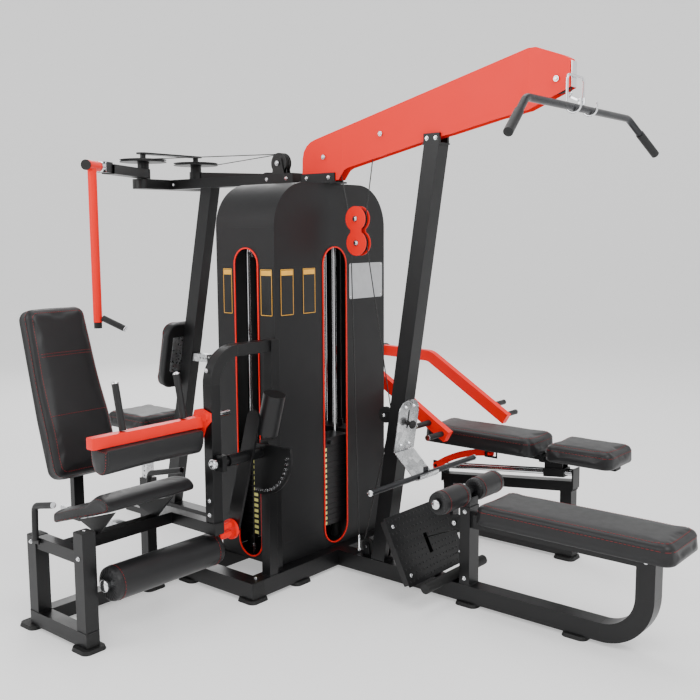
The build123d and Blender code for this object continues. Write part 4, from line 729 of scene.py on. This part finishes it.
PADS = {
    "lat": node_pad("lat_bench_pad", 42 * MM),
    "fly_seat": node_pad("fly_seat_pad", 40 * MM, turn=True),
    "press_seat": node_pad("press_seat_pad", 40 * MM),
    "press_back": node_pad("press_back_pad", 42 * MM),
    "thigh": ProfilePad("thigh_pad", THIGH_LOOP, on_thigh_top, 12 * MM),
    "leg_seat": ProfilePad("leg_seat_pad", SEAT_LOOP, on_seat_base),
    "leg_back": leaned("leg_back_pad", BACK_LOW, BACK_HIGH, 0.082, 1, 46 * MM, 26 * MM, back_shape),
    "fly_back": leaned("fly_back_pad", FLY_LOW, FLY_HIGH, 0.072, -1, 60 * MM, 22 * MM),
}
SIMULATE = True
for PAD in PADS.values():
    PAD.build(SIMULATE)
if SIMULATE:
    for FRAME in range(1, SIM_FRAMES + 1):
        bpy.context.scene.frame_set(FRAME)
for PAD in PADS.values():
    PAD.finish(SIMULATE)
bpy.context.scene.frame_set(1)
for NAME, PAD in PADS.items():
    if isinstance(PAD, ProfilePad):
        PAD.end_trim()
        continue
    LINES = [(PAD.outline(30 * MM, max(PAD.corner - 18 * MM, 8 * MM)), True)]
    if NAME == "leg_back":
        CHANNELS = ((0.165, 0.135), (0.153, 0.135), (-0.105, 0.140))
        LINES += [([(u, -v), (u, v)], False) for u, v in CHANNELS]
    PAD.trim(LINES)


# ------------------------------------------------------------------- rollers
def circle_y(centre, y, radius, count):
    """Points of a circle round an axis along Y at (x, z)."""
    return [Vector((centre[0] + radius * math.cos(a), y, centre[1] + radius * math.sin(a)))
            for a in turns(count)]


def roller(name, node, centre, y0, y1, radius, body):
    """Upholstered roller along Y with gathered ends and a stitched ring at each end."""
    long = y1 - y0
    folds = 26
    count = folds * 6
    spots = [(0.0055, 0.28), (0.0035, 0.40), (0.0015, 0.55), (0.0008, 0.72), (0.0025, 0.86),
             (0.0075, 0.95), (0.015, 0.985), (0.030, 0.995), (0.060, 1.0)]
    profile = [(along, share, y0 + along) for along, share in spots]
    for k in range(1, 6):
        at = 0.06 + (long - 0.12) * k / 6
        profile.append((0.06, 1.0 + 0.004 * math.sin(math.pi * k / 6), y0 + at))
    profile += [(along, share, y1 - along) for along, share in spots[::-1]]
    shape = Shape()
    rings = []
    for along, share, y in profile:
        ring = []
        gather = max(0.0, 1.0 - abs(share - 0.62) / 0.36) if along < 0.02 else 0.0
        inward = 1 if y < (y0 + y1) / 2 else -1
        for turn in turns(count):
            crease = 0.5 - 0.5 * math.cos(folds * turn)
            r = (radius - 0.6 * MM) * share
            if 0.006 < along < 0.04:
                r -= 0.7 * MM * crease * (0.04 - along) / 0.034
            dy = inward * 2.4 * MM * crease * gather
            ring.append(Vector((centre[0] + r * math.cos(turn), y + dy,
                                centre[1] + r * math.sin(turn))))
        rings.append(ring)
    shape.rings(rings)
    cover = shape.put(f"{name}_cover", "black_pad", body)
    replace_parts(cover, node)
    thread, seam = Shape(), Shape()
    for y in (y0 + 0.034, y1 - 0.034):
        dashes(thread, circle_y(centre, y, radius - 0.1 * MM, 96), True)
    for y in (y0 + 0.030, y1 - 0.030):
        seam.tube(circle_y(centre, y, radius - 1.0 * MM, 72), 1.2 * MM, 6, closed=True)
    thread.put(f"{name}_thread", "red_thread", body, "black_pad")
    seam.put(f"{name}_seam", "black_pad", body)


ROLL_X = 0.940
ROLL_Z = 0.492
for SIDE, (Y0, Y1) in (("left", (-0.232, -0.038)), ("right", (0.038, 0.232))):
    roller(f"thigh_roller_{SIDE}", "thigh_rollers", (ROLL_X, ROLL_Z), Y0, Y1, 0.050, "thigh_holder")
roller("ankle_roller", "ankle_roller", (0.120, 0.258), -1.262, -0.708, 0.070, "ankle")


def dome_profile(radius, height):
    """Half-dome profile for a turned cap with a short skirt, in millimetres."""
    rows = [(-1, radius), (1, radius)]
    for k in range(1, 6):
        turn = math.pi / 2 * k / 6
        rows.append((1 + (height - 1) * math.sin(turn), radius * math.cos(turn)))
    return rows


DOMES = (                        # name, place, way out, radius and height in mm, body
    ("ankle_cap_dome", (0.120, -1.278, 0.258), (0, -1, 0), 25, 9, "lever"),
    ("thigh_cap_left", (ROLL_X, -0.244, ROLL_Z), (0, -1, 0), 20, 5, "thigh_holder"),
    ("thigh_cap_right", (ROLL_X, 0.244, ROLL_Z), (0, 1, 0), 20, 5, "thigh_holder"),
    ("row_cap_left", (0.720, -0.397, 0.534), (0, -1, 0), 13, 4, "row_handle"),
    ("row_cap_right", (0.720, 0.397, 0.534), (0, 1, 0), 13, 4, "row_handle"),
    ("knee_nut_dome", (0.215, -0.800, 0.655), (0, -1, 0), 19, 8, "root"),
    ("pivot_dome", (-0.360, 1.130, 0.905), (0, 1, 0), 24, 8, "root"),
)
GRIP_LEAN = (-0.038, 0, 0.1783)
DOMES += tuple((f"thigh_grip_cap_{k}", (0.100, y, 1.030), GRIP_LEAN, 15, 9, "hold_down")
               for k, y in enumerate((-1.180, -0.880)))
FLY_HUB = Vector((-0.970, 0.180))
FLY_REACH = 0.563                # from an arm's pivot to its handle
OPEN = math.radians(62.5)        # the arms' angle from +X
for SIDE, S in SIDES:
    ALONG = Vector((math.cos(OPEN), S * math.sin(OPEN), 0))
    BACKWARD = Vector((math.sin(OPEN), -S * math.cos(OPEN), 0))
    GRIP = BACKWARD * 0.112 + Vector((0, 0, -0.050))
    TIP = Vector((FLY_HUB.x, S * FLY_HUB.y, 1.200)) + ALONG * FLY_REACH + BACKWARD * 0.0272 + GRIP
    DOMES += ((f"fly_grip_cap_{SIDE}", TIP, GRIP, 16, 6, f"handle_{SIDE}"),)
for NAME, PLACE, AXIS, RADIUS, HEIGHT, BODY in DOMES:
    CAP = Shape()
    CAP.lathe(PLACE, AXIS, dome_profile(RADIUS, HEIGHT), 28)
    CAP.put(NAME, "chrome", BODY)


# --------------------------------------------------- second finishes by place
def reach_from(x, y):
    """Distance of a point from an upright axis at (x, y)."""
    return lambda c: math.hypot(c.x - x, c.y - y)


# Finishes for parts of CAD nodes: a face takes one when its centre passes the test.
SECOND_FINISHES = {
    "black_frame": {
        "press_arms": lambda c: math.hypot(c.x + 0.360, c.z - 0.905) < 0.0325,
    },
    "pulley_black": {
        "float_bracket": lambda c: abs(c.y) < 0.0085,
        "sheave_brackets": lambda c: abs(c.y) < 0.0075,
    },
    "label_black": {
        "blank_labels": lambda c: not (c.y > 0.1 and c.x > 0.18),
    },
    "swirl": {
        "row_bar_holder": lambda c: True,
    },
    "black_rubber": {
        "guide_rods": lambda c: c.z < 0.1862,
        "foot_plate": lambda c: c.x > 0.856 and c.z < 0.137,
    },
    "grip_rubber": {
        "lat_bar": lambda c: abs(c.y) > 0.4985,
        "thigh_bar": lambda c: c.z > 0.8845 or (c.z > 0.8495 and c.y < -0.81),
        "press_arms": lambda c: c.x > 0 and (c.y < 0.4795 or c.y > 1.0905),
        "leg_station_frame": lambda c: (c.z > 0.388 and c.y < -1.3385
                                        or c.z > 0.376 and abs(c.y + 0.668) < 0.0135),
    },
    "chrome": {
        "lat_bar": lambda c: c.x < 1.4405 and abs(c.y) < 0.018 and c.z > 2.0665,
        "row_bar": lambda c: abs(c.y) > 0.3915,
        "leg_arch": lambda c: c.y < -0.7895,
        "ankle_arm": lambda c: c.y < -0.7045,
        "thigh_bar": lambda c: c.z > 1.0265 or c.y > -0.7885,
        "press_arms": lambda c: c.y < 0.3605 or c.y > 1.2095,
        "fly_pulleys": lambda c: abs(c.y) > 0.0306,
        "boom_pulleys": lambda c: abs(c.y) > 0.0302,
        "float_bracket": lambda c: abs(c.y) > 0.0205,
        "sheave_brackets": lambda c: abs(c.y) > 0.0196,
        "thigh_holder_post": lambda c: abs(c.y) > 0.2355,
        "leg_lever": lambda c: -0.5361 < c.y < -0.5281 and c.z < 0.70,
        "back_carrier": lambda c: -1.044 < c.y < -1.0252 and c.z < 0.385,
        "fly_seat_post": lambda c: -0.049 < c.y < -0.0302 and c.z < 0.345,
        "leg_station_frame": lambda c: (c.z > 0.5 and (c.y < -1.3385 and c.x > -0.0905
                                                       or abs(c.y + 0.668) < 0.0135 and c.x > -0.1445)),
    },
}
for KEY, TESTS in SECOND_FINISHES.items():
    for NODE, TEST in TESTS.items():
        touch_up(NODE, KEY, TEST)
for SIDE, S in SIDES:
    FAR = reach_from(FLY_HUB.x, S * FLY_HUB.y)
    DROP = reach_from(FLY_HUB.x + FLY_REACH * math.cos(OPEN),
                      S * (FLY_HUB.y + FLY_REACH * math.sin(OPEN)))
    touch_up(f"fly_arm_{SIDE}", "chrome", lambda c: FAR(c) > 0.4705)
    touch_up(f"fly_arm_{SIDE}", "black_rubber", lambda c: FAR(c) > 0.6145)
    touch_up(f"fly_handle_{SIDE}", "black_rubber", lambda c: c.z < 1.1799)
    touch_up(f"fly_handle_{SIDE}", "grip_rubber", lambda c: c.z < 1.25 and DROP(c) > 0.0225)


def on_rails(c):
    """True on the two polished rails of the press bench."""
    top = 0.354 + math.tan(math.radians(6.2)) * (c.x - 0.303)
    beside = min(abs(c.y - 0.765), abs(c.y - 0.805))
    return beside < 0.0127 and abs(c.z - top) < 0.0130 and 0.3005 < c.x < 1.0505


touch_up("press_frame", "chrome", on_rails)
touch_up("press_frame", "chrome", lambda c: c.y > 1.1165)


# -------------------------------------------------------------- small fittings
CAPS = (                         # centre, way out, width and height in mm
    ((-0.300, -1.315, 0.045), (-1, 0, 0), 60, 60), ((0.087, -1.315, 0.045), (1, 0, 0), 60, 60),
    ((-0.270, -1.315, 0.395), (0, 0, 1), 60, 60), ((0.057, -1.315, 0.470), (0, 0, 1), 60, 60),
    ((-0.3075, -0.570, 0.0525), (-1, 0, 0), 75, 75), ((0.2375, -0.570, 0.0525), (1, 0, 0), 75, 75),
    ((-0.2375, 0.570, 0.0525), (-1, 0, 0), 75, 75), ((0.2375, 0.570, 0.0525), (1, 0, 0), 75, 75),
    ((-1.365, 0, 0.0525), (-1, 0, 0), 75, 75), ((-0.030, 0, 1.855), (1, 0, 0), 80, 50),
    ((0.200, 0.785, 0.045), (-1, 0, 0), 60, 60), ((1.058, 0.785, 0.045), (1, 0, 0), 60, 60),
    ((-0.360, 0.440, 0.990), (0, 0, 1), 75, 75), ((0.185, -0.4155, 1.135), (0, 0, 1), 50, 50),
    ((0.210, -0.4705, 0.700), (0, 0, 1), 50, 50), ((0.205, -0.760, 0.370), (1, 0, 0), 50, 50),
    ((-0.295, -0.760, 0.370), (-1, 0, 0), 50, 50), ((-0.560, -1.000, 0.370), (-1, 0, 0), 40, 40),
)
MOVING_CAPS = (
    ((1.270, 0.785, 0.490), (1, 0, 0), 60, 20, "carriage"),
    ((0.320, 0.785, 0.490), (-1, 0, 0), 50, 20, "bench_back"),
    ((0.140, -1.330, 0.826), (0, -1, 0), 40, 45, "hold_down"),
)


def end_caps():
    """Domed plastic plugs in the open ends of the tubes, one object per body."""
    groups = {}
    for centre, normal, wide, tall, body in [(*cap, "root") for cap in CAPS] + list(MOVING_CAPS):
        normal = Vector(normal)
        ey = UP if abs(normal.z) < 0.5 else Vector((1, 0, 0))
        ex = ey.cross(normal)
        shape = groups.setdefault(body, Shape())
        shape.plate(Vector(centre) - normal * 0.2 * MM, ex, ey, (wide - 0.4) * MM, (tall - 0.4) * MM,
                    5 * MM, 2.2 * MM, 0.6 * MM)
    for body, shape in groups.items():
        key = "red_frame" if body == "hold_down" else "black_rubber"
        shape.put(f"end_caps_{body}", key, body)


end_caps()


POSTS = (                        # foot, depth and width in mm
    ((0.950, 0, 0.090), 50, 75), ((-0.270, -1.315, 0.075), 60, 60), ((0.057, -1.315, 0.075), 60, 60),
    ((-0.270, -0.760, 0.075), 50, 50), ((0.175, -0.760, 0.395), 50, 50),
    ((0.185, -0.4155, 0.090), 50, 50), ((0.210, -0.4705, 0.090), 50, 50),
    ((0.337, 0.785, 0.075), 60, 60), ((1.020, 0.785, 0.075), 60, 60),
    ((-1.250, 0, 0.090), 70, 70), ((0.475, 0, 0.090), 76, 75), ((-1.0240, 0, 0.090), 82, 60),
)


def weld_beads():
    """Rippled weld round the foot of every post."""
    beads = Shape()
    facets = 8
    for centre, deep, wide in POSTS:
        loop = refine(rounded_rect(deep * MM + 1 * MM, wide * MM + 1 * MM, 4 * MM, 3), 2.6 * MM, True)
        base = len(beads.verts)
        path = [Vector(centre) + Vector((x, y, 0.6 * MM)) for x, y in loop]
        beads.tube(path, 2.4 * MM, facets, closed=True)
        for k, vert in enumerate(beads.verts[base:]):
            vert.z += 0.35 * MM * math.cos(math.pi * (k // facets) * 0.9)
    beads.put("weld_beads", "black_frame", "root")


weld_beads()


def tread_dots():
    """Raised dots pressed into the foot plate, and its four screws."""
    high, low = Vector((0.660, 0, 0.372)), Vector((0.800, 0, 0.097))
    down = (low - high).normalized()
    face = Vector((-down.z, 0, down.x))
    dots = Shape()
    span = (low - high).length
    for i in range(11):
        for j in range(17):
            along = 0.020 + i * (span - 0.04) / 10
            y = -0.208 + j * 0.026 + (0.013 if i % 2 else 0)
            if y > 0.212:
                continue
            spot = high + down * along
            if abs(y) < 0.022 and abs(spot.z - 0.224) < 0.055:
                continue
            dots.lathe(spot + Vector((0, y, 0)), face, ((-0.2, 5), (0.6, 4.6), (1.3, 3), (1.6, 1)), 10)
    dots.put("foot_tread_dots", "black_frame", "root")
    screws = Shape()
    for along in (0.045, span - 0.045):
        for y in (-0.19, 0.19):
            spot = high + down * along + Vector((0, y, 0)) + face * 0.5 * MM
            screws.lathe(spot, face, ((0, 9), (2, 9), (3.4, 6.5), (4, 2)), 18)
    screws.put("foot_plate_screws", "chrome", "root")


tread_dots()


def label_frames():
    """Plain amber border and head band on the four blank black labels."""
    x, y = 0.1865, -0.3915
    z, tall = 1.336, 0.208
    plates = [((x, -0.3125, z), (0, 1, 0), 0.085), ((x, -0.1675, z), (0, 1, 0), 0.085),
              ((-0.112, y, z), (1, 0, 0), 0.060), ((0.135, y, z), (1, 0, 0), 0.074)]
    trims = Shape()
    for centre, ex, wide in plates:
        centre, ex = Vector(centre), Vector(ex)
        out = ex.cross(UP)
        outer = rounded_rect(wide - 4 * MM, tall - 4 * MM, 4 * MM)
        inner = rounded_rect(wide - 9 * MM, tall - 9 * MM, 2.5 * MM)
        proud = 0.35 * MM
        rings = [[centre + ex * u + UP * v + out * h for u, v in ring]
                 for ring, h in ((outer, 0), (outer, proud), (inner, proud), (inner, 0), (outer, 0))]
        trims.rings(rings, closed_ends=False)
        trims.plate(centre + UP * (tall / 2 - 18 * MM), ex, UP, wide - 12 * MM, 22 * MM,
                    2 * MM, 0.4 * MM)
    trims.put("label_borders", "label_amber", "root", "label_grey")
    corners = Shape()
    for y in (0.128, 0.362):
        for z in (1.291, 1.441):
            corners.lathe((0.1862, y, z), (1, 0, 0), ((0, 4), (1.2, 4), (2.2, 2)), 14)
    corners.put("info_plate_rivets", "chrome", "root")


label_frames()


def stack_numbers():
    """Small pale blank tabs on the outer edge of every weight plate."""
    tabs = Shape()
    for k in range(15):
        z = 0.186 + 0.026 * k + 0.0125
        for centre, ex in (((0.150, -0.028, z), (0, 1, 0)), ((-0.150, 0.028, z), (0, -1, 0)),
                           ((-0.020, -0.325, z), (1, 0, 0)), ((0.020, 0.325, z), (-1, 0, 0))):
            tabs.plate(centre, ex, UP, 26 * MM, 15 * MM, 2 * MM, 0.5 * MM)
    tabs.put("stack_tabs", "label_cream", "root", "label_grey")


stack_numbers()


def keeper_knob():
    """Black ball knob and two screws on the row-bar keeper."""
    lean = Vector((0.155, 0, 1)).normalized()
    out = Vector((lean.z, 0, -lean.x))
    foot = Vector((0.475 + 0.155 * (0.626 - 0.090) + 0.0386, 0, 0.626)) + out * 4.2 * MM
    knob = Shape()
    knob.lathe(foot + lean * 0.128, out,
               ((-1, 11), (4, 11), (8, 8), (14, 9), (20, 17), (27, 20), (34, 17), (38, 8)), 28)
    knob.put("keeper_knob", "black_rubber", "root")
    screws = Shape()
    for along in (0.028, 0.205):
        for y in (-0.030, 0.030):
            screws.lathe(foot + lean * along + Vector((0, y, 0)), out,
                         ((-0.4, 9), (2, 9), (3, 6), (8, 6), (9, 4)), 18)
    screws.put("keeper_screws", "chrome", "root")


keeper_knob()


# ------------------------------------------------------------------- cables
def groove(radius):
    """Centre-line radius of a cable in a sheave's groove, in millimetres."""
    return radius - 0.4


def tangent_route(stops):
    """Straight legs between (x, z, r, turn) stops; turn is +1, -1 or 0 at an end."""
    legs = []
    for (x0, z0, r0, t0), (x1, z1, r1, t1) in zip(stops, stops[1:]):
        dx, dz = x1 - x0, z1 - z0
        span = math.hypot(dx, dz)
        a, b = r0 * t0, r1 * t1
        across = (a - b) / span
        along = max(0.0, 1 - across * across) ** 0.5
        ux, uz = dx / span, dz / span
        nx, nz = uz * along + ux * across, -ux * along + uz * across
        legs.append(((x0 + nx * a, z0 + nz * a), (x1 + nx * b, z1 + nz * b)))
    return legs


def straight(p, q, step=12.0):
    count = max(2, int(math.dist(p, q) / step))
    return [tuple(a + (b - a) * k / count for a, b in zip(p, q)) for k in range(count + 1)]


def arc(stop, arrive, leave, step=4.0):
    """Points round a wheel from where the cable arrives to where it leaves."""
    cx, cz, r, turn = stop
    a0 = math.atan2(arrive[1] - cz, arrive[0] - cx)
    a1 = math.atan2(leave[1] - cz, leave[0] - cx)
    by = (a1 - a0) * turn % (2 * math.pi) * turn
    count = max(3, int(abs(by) * r / step))
    return [(cx + r * math.cos(a0 + by * k / count), cz + r * math.sin(a0 + by * k / count))
            for k in range(count + 1)]


CABLE_R = 2.5 * MM


def cable_piece(name, points, body=None, ends=None, node="tower_cables"):
    """Cable through (x, y, z) millimetre points; ends = (body at start, body at end) only bakes the
    cable's placement into its mesh, the bodies are not used.
    """
    shape = Shape()
    shape.tube([Vector(p) * MM for p in points], CABLE_R, 10)
    made = shape.put(name, "cable_black", body)
    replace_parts(made, node)
    if ends:
        Vector(points[0]) * MM
        Vector(points[-1]) * MM
        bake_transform(made)
    return made


def laid(stops, place=lambda x, z: (x, 0.0, z)):
    """Point lists of a cable over its stops: run, wrap, run, wrap and so on to the last run."""
    legs = tangent_route(stops)
    parts = []
    for k, leg in enumerate(legs):
        if k:
            parts.append(arc(stops[k], legs[k - 1][1], leg[0]))
        parts.append(straight(*leg))
    return [[place(x, z) for x, z in part] for part in parts]


def joined(parts):
    return parts[0] + [point for part in parts[1:] for point in part[1:]]


HEAD_TOP = 651.5
TIP_X = 1331 + groove(48)
LAT_ROUTE = [(95, HEAD_TOP, 0, 0), (157, 1943, groove(62.5), -1), (336, 1659, groove(46), 1),
             (489, 2025, groove(48), -1), (1331, 2170, groove(48), -1), (TIP_X, 2121, 0, 0)]
LOW_END_X = 884 + groove(30)
LOW_ROUTE = [(336, 176, 0, 0), (341, 1550, groove(46), -1), (499, 775, groove(32), -1),
             (395, 136, groove(30), 1), (884, 348, groove(30), 1), (LOW_END_X, 398, 0, 0)]
LAT, LOW = laid(LAT_ROUTE), laid(LOW_ROUTE)
cable_piece("lat_cable_stack_run", LAT[0], ends=("lat_stack", "root"))
cable_piece("lat_cable_rear_wrap", LAT[1], "root")
cable_piece("lat_cable_float_down", LAT[2], ends=("root", "float_block"))
cable_piece("lat_cable_float_wrap", LAT[3], "float_block")
cable_piece("lat_cable_float_up", LAT[4], ends=("float_block", "root"))
cable_piece("lat_cable_boom", joined(LAT[5:]), "root")
cable_piece("row_cable_anchor_run", LOW[0], ends=("root", "float_block"))
cable_piece("row_cable_float_wrap", LOW[1], "float_block")
cable_piece("row_cable_float_down", LOW[2], ends=("float_block", "root"))
cable_piece("row_cable_base", joined(LOW[3:]), "root")

INNER_X, INNER_R = 316, groove(46.4)
INNER_ROUTE = [(INNER_X - INNER_R, HEAD_TOP, 0, 0), (INNER_X, 1538, INNER_R, -1),
               (INNER_X + INNER_R, 160, 0, 0)]
for STATION, S in (("leg", -1), ("press", 1)):
    INNER = laid(INNER_ROUTE, lambda x, z: (0.0, S * x, z))
    RISE_ENDS = (f"{STATION}_stack", "root")
    cable_piece(f"{STATION}_cable_stack_run", INNER[0], ends=RISE_ENDS, node="inner_cables")
    cable_piece(f"{STATION}_cable_anchor_run", joined(INNER[1:]), "root", node="inner_cables")

FITTINGS = Shape()
FITTINGS.lathe((0.336, 0, 0.0901), UP, ((0, 9), (18, 9), (20, 7), (20.5, 5), (84, 5), (85.8, 3)), 24)
for X, Z, HIGH in ((TIP_X, 2109, 12), (LOW_END_X, 398, 16)):
    FITTINGS.lathe((X * MM, 0, Z * MM), UP, ((0, 4), (1.5, 6), (HIGH - 2, 6), (HIGH, 4)), 24)
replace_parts(FITTINGS.put("cable_fittings", "chrome", "root"), "tower_cables")

ROOF_X, ROOF_Z, ROOF_R = -140, 1930, groove(45)
LINE_Z = ROOF_Z + ROOF_R      # height of the fly cables' level runs
CAM_R = 113.5
HUB_X, HUB_Y = FLY_HUB * 1000
WHEEL_Y = 11


def fly_cable(side, s):
    """Cable of one fly arm: round its cam, over the roof pulley and down to the stack."""
    dx, dy = ROOF_X - HUB_X, s * (WHEEL_Y - HUB_Y)
    tilt = math.atan2(dy, dx) - s * math.asin(CAM_R / math.hypot(dx, dy))
    start = tilt + s * math.pi / 2
    wrap = [(HUB_X + CAM_R * math.cos(a), s * HUB_Y + CAM_R * math.sin(a), LINE_Z)
            for a in [start + s * math.radians(4 * k) for k in range(38, -1, -1)]]
    bend, reach = Vector((ROOF_X - 32, s * WHEEL_Y, LINE_Z)), 14
    near = bend - (bend - Vector(wrap[-1])).normalized() * reach
    far = bend + Vector((reach, 0, 0))
    corner = [tuple(near.lerp(bend, k / 8).lerp(bend.lerp(far, k / 8), k / 8)) for k in range(1, 9)]
    over = [(ROOF_X + ROOF_R * math.sin(a), s * WHEEL_Y, ROOF_Z + ROOF_R * math.cos(a))
            for a in [math.pi / 2 * k / 16 for k in range(17)]]
    over.append((ROOF_X + ROOF_R, s * WHEEL_Y, 1900))
    points = wrap[:-1] + straight(wrap[-1], tuple(near)) + corner + over
    cable_piece(f"fly_cable_top_{side}", points, "root", node="fly_cables")
    drop = straight((PEC_X, s * WHEEL_Y, HEAD_TOP + 6), (PEC_X, s * WHEEL_Y, 1900))
    cable_piece(f"fly_cable_drop_{side}", drop, ends=("pec_stack", "root"), node="fly_cables")


PEC_X = -94.8
for SIDE, S in SIDES:
    fly_cable(SIDE, S)
YOKE = Shape()
YOKE.plate((PEC_X * MM, 0, 0.6518), (0, 1, 0), (-1, 0, 0), 36 * MM, 16 * MM, 4 * MM, 9 * MM)
for S in (-1, 1):
    YOKE.lathe((PEC_X * MM, S * WHEEL_Y * MM, 0.6605), UP, ((0, 5), (10, 5), (12, 3.4)), 18)
YOKE.put("pec_cable_yoke", "zinc", "pec_stack")


# ------------------------------------------------------------ stage and light
def backdrop():
    """Pale round studio: a floor that curves up into a wall far behind on every side."""
    floor, bend, wall = 15.0, 5.0, 12.0
    rows = [(0.05, 0.0), (4.0, 0.0), (floor, 0.0)]
    for k in range(1, 13):
        turn = math.pi / 2 * k / 12
        rows.append((floor + bend * math.sin(turn), bend * (1 - math.cos(turn))))
    rows.append((floor + bend, wall))
    studio = Shape()
    count = 96
    studio.rings([[Vector((r * math.cos(a), r * math.sin(a), z - 0.5 * MM)) for a in turns(count)]
                  for r, z in rows], closed_ends=False)
    studio.faces.append(tuple(range(count)))
    paint = bpy.data.materials.new("floor_paint")
    paint.use_nodes = True
    fill(paint.node_tree.nodes["Principled BSDF"],
         {"Base Color": (0.72, 0.72, 0.72, 1), "Roughness": 0.75, "Specular IOR Level": 0.15,
          "Emission Color": (1, 1, 1, 1), "Emission Strength": 0.42})
    made = studio.make("studio_floor", "label_grey", None)
    made.data.materials[0] = paint


backdrop()


def soft_light(name, place, size, power):
    data = bpy.data.lights.new(name, "AREA")
    data.shape = "RECTANGLE"
    data.size, data.size_y = size
    data.energy = power
    lamp = bpy.data.objects.new(name, data)
    lamp.location = place
    lamp.rotation_euler = (MIDDLE - Vector(place)).to_track_quat("-Z", "Y").to_euler()
    bpy.context.scene.collection.objects.link(lamp)


MIDDLE = Vector((0.2, -0.2, 1.0))
soft_light("key", (4.2, -1.6, 5.0), (3.2, 3.2), 200)
soft_light("fill", (-1.4, -5.2, 3.4), (3.6, 3.0), 120)
soft_light("top", (-0.6, 1.2, 6.4), (5.0, 5.0), 170)
soft_light("rim", (-5.0, 3.4, 3.6), (3.0, 3.0), 110)
WORLD = bpy.data.worlds.new("studio")
bpy.context.scene.world = WORLD
WORLD.use_nodes = True
fill(WORLD.node_tree.nodes["Background"], {"Color": (1, 1, 1, 1), "Strength": 0.8})

AZIMUTH, PITCH, ROLL = math.radians(39.84), math.radians(7.23), math.radians(0.30)
LENS = bpy.data.cameras.new("camera")
LENS.lens = 47.83
LENS.sensor_width = 36
LENS.clip_end = 60
CAMERA = bpy.data.objects.new("camera", LENS)
AIM = Vector((-math.sin(AZIMUTH) * math.cos(PITCH), math.cos(AZIMUTH) * math.cos(PITCH),
              -math.sin(PITCH)))
CAMERA.rotation_mode = "QUATERNION"
CAMERA.location = (3.04, -3.30, 1.60)
LEVEL = AIM.to_track_quat("-Z", "Y").to_matrix()
CAMERA.rotation_quaternion = (Matrix.Rotation(ROLL, 3, AIM) @ LEVEL).to_quaternion()
bpy.context.scene.collection.objects.link(CAMERA)
bpy.context.scene.camera = CAMERA
